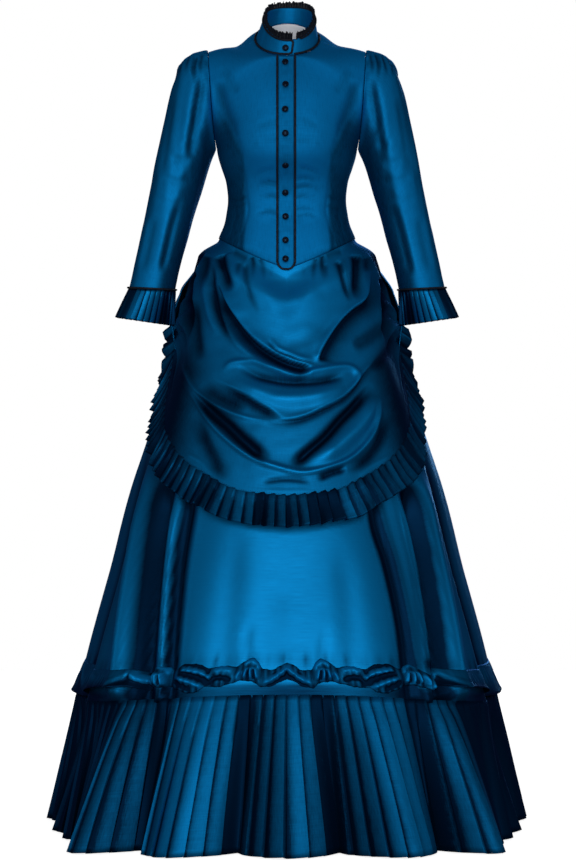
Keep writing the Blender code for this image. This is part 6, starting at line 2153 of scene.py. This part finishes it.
@dataclass
class Underskirt:
    """The long skirt with its ruched band and its deep knife-pleated flounce."""

    room: Workroom
    rows: int = 104
    columns: int = 360
    pleats: int = 132
    flounce_rows: int = 22
    pleat_depth: float = 0.0090
    pleat_overlap: float = 0.0070

    # x and height, seen from the front
    FOLDS = (
        Fold(((-0.160, -0.780), (-0.174, -0.850), (-0.188, -0.937), (-0.195, -1.015), (-0.200, -1.086),
              (-0.206, -1.190)),
             -0.0110, 0.0110, 0.0, 0.25, 0.02, 0.0120, 0.99, 0.35),
        Fold(((-0.186, -0.800), (-0.204, -0.920), (-0.214, -1.041), (-0.221, -1.190)), 0.0150, 0.0085, 0.0,
             0.25, 0.02),
        Fold(((-0.210, -0.770), (-0.228, -0.860), (-0.241, -0.960), (-0.250, -1.086), (-0.256, -1.190)),
             -0.0340, 0.0130, 0.0, 0.25, 0.02, 0.0200, 0.99, 0.9),
        Fold(((-0.244, -0.760), (-0.276, -0.961), (-0.292, -1.080), (-0.302, -1.190)), 0.0190, 0.0105, 0.0,
             0.25, 0.02),
        Fold(((0.146, -0.800), (0.162, -0.885), (0.183, -0.950), (0.206, -1.061), (0.218, -1.190)),
             -0.0110, 0.0110, 0.0, 0.25, 0.02, 0.0130, 0.99, 1.0),
        Fold(((0.186, -0.800), (0.214, -0.894), (0.231, -0.970), (0.246, -1.075), (0.254, -1.190)), 0.0110,
             0.0068,
             0.0, 0.25, 0.02),
        Fold(((0.212, -0.790), (0.240, -0.915), (0.262, -1.060), (0.274, -1.190)),
             -0.0330, 0.0130, 0.0, 0.25, 0.02, 0.0225, 0.99, 0.8),
        Fold(((0.236, -0.780), (0.262, -0.912), (0.290, -1.052), (0.310, -1.190)), 0.0160, 0.0115, 0.0, 0.25,
             0.02),
        Fold(((-0.086, -0.860), (-0.098, -1.000), (-0.112, -1.140)), -0.0022, 0.0240, 0.0, 0.4, 0.1),
        Fold(((0.094, -0.900), (0.108, -1.020), (0.116, -1.150)), -0.0018, 0.0220, 0.0, 0.4, 0.1),
        Fold(((-0.010, -0.980), (-0.020, -1.060), (-0.012, -1.120)), -0.0012, 0.0200),
        Fold(((-0.060, -1.040), (-0.070, -1.080), (-0.062, -1.125)), -0.0016, 0.0090, 0.0, 0.5, 0.1),
        Fold(((0.070, -1.050), (0.062, -1.090), (0.066, -1.125)), -0.0016, 0.0080, 0.0, 0.5, 0.1),
    )
    # share of the way around from the front, spread, how far out: the flounce's broad billows
    BILLOWS = ((0.0, 0.013, 0.034), (0.0240, 0.0060, -0.030), (-0.0240, 0.0060, -0.030),
               (0.054, 0.017, 0.038),
               (-0.054, 0.017, 0.038), (0.0810, 0.0065, -0.034), (-0.0795, 0.0070, -0.036),
               (0.1040, 0.0115, 0.056),
               (-0.1040, 0.0115, 0.056), (0.1380, 0.009, -0.030), (-0.1380, 0.009, -0.030),
               (0.165, 0.016, -0.032),
               (-0.165, 0.016, -0.032), (0.204, 0.014, -0.054), (-0.204, 0.014, -0.054),
               (0.244, 0.018, -0.002),
               (-0.244, 0.018, -0.002), (0.282, 0.012, -0.028), (-0.280, 0.012, -0.026),
               (0.320, 0.016, 0.010),
               (-0.322, 0.016, 0.010), (0.358, 0.013, -0.030), (-0.356, 0.013, -0.028), (0.394, 0.016, 0.010),
               (-0.396, 0.016, 0.010), (0.432, 0.013, -0.028), (-0.430, 0.013, -0.030), (0.466, 0.016, 0.010),
               (-0.468, 0.016, 0.010), (0.5, 0.012, -0.020))

    def skirt(self) -> ClothGrid:
        """Return the skirt with its long folds, tucked in where the overskirt hides it."""
        angle = SKIRT.even_angles(SKIRT.flounce_top, np.linspace(0, 1, self.columns, endpoint=False))
        top = BODICE.hem(angle) + SKIRT.tuck
        height = mix(top, SKIRT.seam(angle), np.linspace(0, 1, self.rows)[:, None])
        angles = np.broadcast_to(angle, height.shape)
        turned = (angles + 180) % 360 - 180
        hidden = ease((height - SKIRT.edge(angle) - 0.010) / 0.05) * ease((BODICE.hem(angle) - height) / 0.03)
        sides = ease((np.abs(turned) - 58) / 12)
        folds = SKIRT.long_folds(angles, height) * sides
        narrow = 0.011 * np.exp(-((np.abs(turned) - 92) / 26) ** 2) * ease((-0.80 - height) / 0.2)
        wave = ripple(np.radians(angles) * 9 + 0.8 * height, 61)
        fine = 0.0034 * wave * ease((-0.62 - height) / 0.3) * sides
        points = SKIRT.hip(angles, height, UNDER_TUCK, folds + fine - narrow - 0.012 * hidden)
        ahead = 1 - ease((np.abs(turned) - 62) / 12)
        lift, shade = laid(self.FOLDS, points[..., 0], height)
        lift, shade = lift * ahead, shade * ahead
        sunk = 0.009 * ease((BODICE.hem(angle) - height) / 0.030) * ease((height + 0.70) / 0.16)
        points[..., 2] -= sunk
        grid = ClothGrid(points, INSIDE_THE_SKIRT, closed=True)
        grid.push(lift)
        # Painted shade under the ruche, in the troughs of the folds and on the turned sides.
        painted_shade_under_ruche = 0.62 * ease((SKIRT.seam(angle) + 0.032 - height) / 0.012)
        painted_dark = np.clip(-(folds + fine) / 0.018 - lift / 0.015, 0, 0.97)
        grid.painted_shade = 1 - (1 - painted_dark) * (1 - 0.95 * shade) ** 1.8 * (1 - painted_shade_under_ruche)
        grid.painted_shade += 0.20 * ease((np.abs(turned) - 50) / 16)
        # Painted highlights on a band each side of the front and on the raised folds; painted shadow in wisps
        # along the ruche's top edge.
        fading = ease((-0.74 - height) / 0.06)
        panel = np.exp(-((np.abs(points[..., 0]) - 0.125) / 0.045) ** 2) * fading * ahead
        grid.painted_shade -= 0.13 * panel * (1 - shade)
        painted_wisp_shade = (0.5 + 0.5 * ripple(angle * 1.3, 67)) ** 2
        grid.painted_shade += 0.55 * np.exp(-((height - SKIRT.seam(angle) - 0.066) / 0.012) ** 2) * painted_wisp_shade
        grid.painted_shade -= 0.34 * np.clip(lift / 0.007, 0, 1) * (1 - painted_shade_under_ruche)
        return grid

    def flounce(self, skirt: ClothGrid) -> ClothGrid:
        """Return the smooth flounce, ready to be pleated."""
        rows, columns = self.flounce_rows, self.pleats * STEPS_IN_A_PLEAT
        place = np.linspace(0, 1, columns, endpoint=False)
        angle = SKIRT.even_angles(SKIRT.flounce_top, place)
        ring = skirt.points[-1]
        at = place * self.columns
        index = at.astype(int) % self.columns
        edge = mix(ring[index], ring[(index + 1) % self.columns], (at % 1)[:, None])
        form, out = SKIRT.form(angle, np.full(angle.shape, HEM))
        share = np.linspace(0, 1, rows)[:, None]
        billow = np.zeros(columns)
        for centre, spread, height in self.BILLOWS:
            away = (place - centre + 0.5) % 1.0 - 0.5
            billow += height * np.exp(-(away / spread) ** 2)
        hem = form + out * billow[:, None]
        points = mix(edge, hem, share[..., None])
        points = points + out * ((share ** 0.7 - share) * billow)[..., None]
        points[0] = edge - out * 0.0024 + np.array((0.0, 0.0, 0.007))
        points[1] = mix(edge, points[1], 0.25) - np.array((0.0, 0.0, SEAM))
        grid = ClothGrid(points, INSIDE_THE_SKIRT, closed=True)
        turned = np.abs((angle + 180) % 360 - 180)
        # Painted shade, deeper towards the sides and uneven around; painted light on the billows that stand
        # out.
        base = 0.32 + 0.56 * ease((turned - 27) / 16) + 0.16 * ripple(angle * 0.55, 66)
        painted_billow_light = np.minimum(billow - 0.012, 0.018) / 0.075 * (1 - 0.5 * ease((turned - 34) / 20))
        grid.painted_shade = np.clip(base - painted_billow_light, 0, 1) * 0.94 * np.ones_like(share)
        grid.calm = np.full(grid.painted_shade.shape, 0.6)
        return grid

    def build(self) -> ClothGrid:
        """Make the skirt, the band and the flounce, and return the skirt's form."""
        skirt = self.skirt()
        self.room.cloth(skirt, "underskirt_satin", SATIN, Held.HUNG, ["underskirt"],
                        ["bodice_back_left_satin"])
        band = Ruche(skirt).grid()
        self.room.cloth(band, "ruche_satin", SATIN, Held.GATHERED, ["ruche"], ["underskirt_satin"],
                        FRILL_CLOTH)
        pleating = Pleating(self.pleats, self.pleat_depth, self.pleat_overlap, head=0.25, flare=0.006,
                            ridge=0.75, uneven=0.28, seed=3.0)
        strip = self.flounce(skirt)
        piece = pleating.lay(strip, "flounce_satin", SATIN)
        self.room.fit(piece, SATIN, [f"flounce_{name}" for name in ("front", "left", "back", "right")])
        self.room.declare(piece, pleating.cut(strip), Held.GATHERED, ["underskirt_satin"])
        return skirt


# ---------------------------------------------------------------- room

@dataclass
class Studio:
    """A plain pale room: floor, camera and soft lamps."""

    distance: float = 6.0
    eye: float = -0.520
    aim_x: float = 0.0018
    pitch: float = 1.96
    lens: float = 90.08
    floor_radius: float = 2.6
    floor_glow: float = 0.86

    def build(self) -> None:
        """Make the room."""
        scene = bpy.context.scene
        scene.view_settings.view_transform = "Standard"
        self.floor()
        self.world(scene)
        camera = bpy.data.objects.new("camera", bpy.data.cameras.new("camera"))
        camera.data.sensor_fit = "VERTICAL"
        camera.data.sensor_height = 24.0
        camera.data.lens = self.lens
        camera.location = (self.aim_x, -self.distance, self.eye)
        camera.rotation_euler = (math.radians(90 - self.pitch), 0.0, 0.0)
        scene.collection.objects.link(camera)
        scene.camera = camera
        self.lamp("key", (0.0, -5.6, 0.3), (0.0, 0.0, -0.65), 3.2, 5.0, 205.0)
        self.lamp("left_fill", (-3.2, -1.2, 0.2), (0.0, 0.0, -0.8), 1.6, 2.2, 8.0)
        self.lamp("right_fill", (3.2, -0.8, 0.4), (0.0, 0.0, -0.8), 1.6, 2.2, 8.0)
        self.lamp("back_fill", (0.5, 4.6, 0.6), (0.0, 0.2, -0.7), 3.0, 3.0, 110.0)

    def floor(self) -> None:
        """Lay the pale floor."""
        mesh = bpy.data.meshes.new("floor")
        turn = np.linspace(0, math.tau, 96, endpoint=False)
        rim = stack(self.floor_radius * np.cos(turn), self.floor_radius * np.sin(turn), FLOOR_Z)
        mesh.from_pydata(rim.tolist(), [], [tuple(range(96))])
        floor = bpy.data.objects.new("floor", mesh)
        bpy.context.scene.collection.objects.link(floor)
        made = bpy.data.materials.new("floor_pale")
        made.use_nodes = True
        made.node_tree.nodes.clear()
        graph = Graph(made.node_tree)
        seen = graph.value("ShaderNodeLightPath", None, None, "Is Camera Ray")
        pale = graph.node("ShaderNodeBsdfPrincipled", None, {
            "Base Color": (0.60, 0.60, 0.60, 1), "Roughness": 0.9, "Specular IOR Level": 0.0,
            "Emission Color": (1, 1, 1, 1), "Emission Strength": self.floor_glow})
        dull = graph.node("ShaderNodeBsdfDiffuse", None, {"Color": (0.30, 0.30, 0.30, 1)})
        both = graph.node("ShaderNodeMixShader", None, {0: seen, 1: Val(graph, dull.outputs[0]),
                                                        2: Val(graph, pale.outputs[0])})
        graph.node("ShaderNodeOutputMaterial", None, {"Surface": Val(graph, both.outputs[0])})
        mesh.materials.append(made)

    def world(self, scene: bpy.types.Scene) -> None:
        """Set a white backdrop that lights the cloth only a little."""
        world = bpy.data.worlds.new("room")
        world.use_nodes = True
        world.node_tree.nodes.clear()
        graph = Graph(world.node_tree)
        seen = graph.value("ShaderNodeLightPath", None, None, "Is Camera Ray")
        dim = graph.node("ShaderNodeBackground", None, {"Color": (0.85, 0.92, 1.0, 1), "Strength": 0.10})
        white = graph.node("ShaderNodeBackground", None, {"Color": (1, 1, 1, 1), "Strength": 1.0})
        both = graph.node("ShaderNodeMixShader", None, {0: seen, 1: Val(graph, dim.outputs[0]),
                                                        2: Val(graph, white.outputs[0])})
        graph.node("ShaderNodeOutputWorld", None, {"Surface": Val(graph, both.outputs[0])})
        scene.world = world

    def lamp(self, name: str, place: tuple, aim: tuple, width: float, height: float, power: float) -> None:
        """Hang a soft rectangular lamp.

        Args:
            name: Its name.
            place: Where it hangs.
            aim: What it points at.
            width: Its width.
            height: Its height.
            power: Watts.
        """
        light = bpy.data.lights.new(name, "AREA")
        light.shape = "RECTANGLE"
        light.size, light.size_y = width, height
        light.energy = power
        lamp = bpy.data.objects.new(name, light)
        lamp.location = place
        way = np.array(aim) - np.array(place)
        lamp.rotation_euler = (math.atan2(math.hypot(way[0], way[1]), -way[2]), 0.0,
                               math.atan2(-way[0], way[1]))
        bpy.context.scene.collection.objects.link(lamp)


def main() -> None:
    """Dress the frame and set the room."""
    logging.basicConfig(level=logging.INFO, format="%(name)s %(message)s")
    room = Workroom()
    skirt = Underskirt(room).build()
    Bodice(room).build()
    Placket(room).build()
    Collar(room).build()
    Sleeves(room).build()
    Overskirt(room, skirt).build()
    Studio().build()
    LOG.info("%d pieces", len(room.made))


if __name__ == "__main__":
    main()
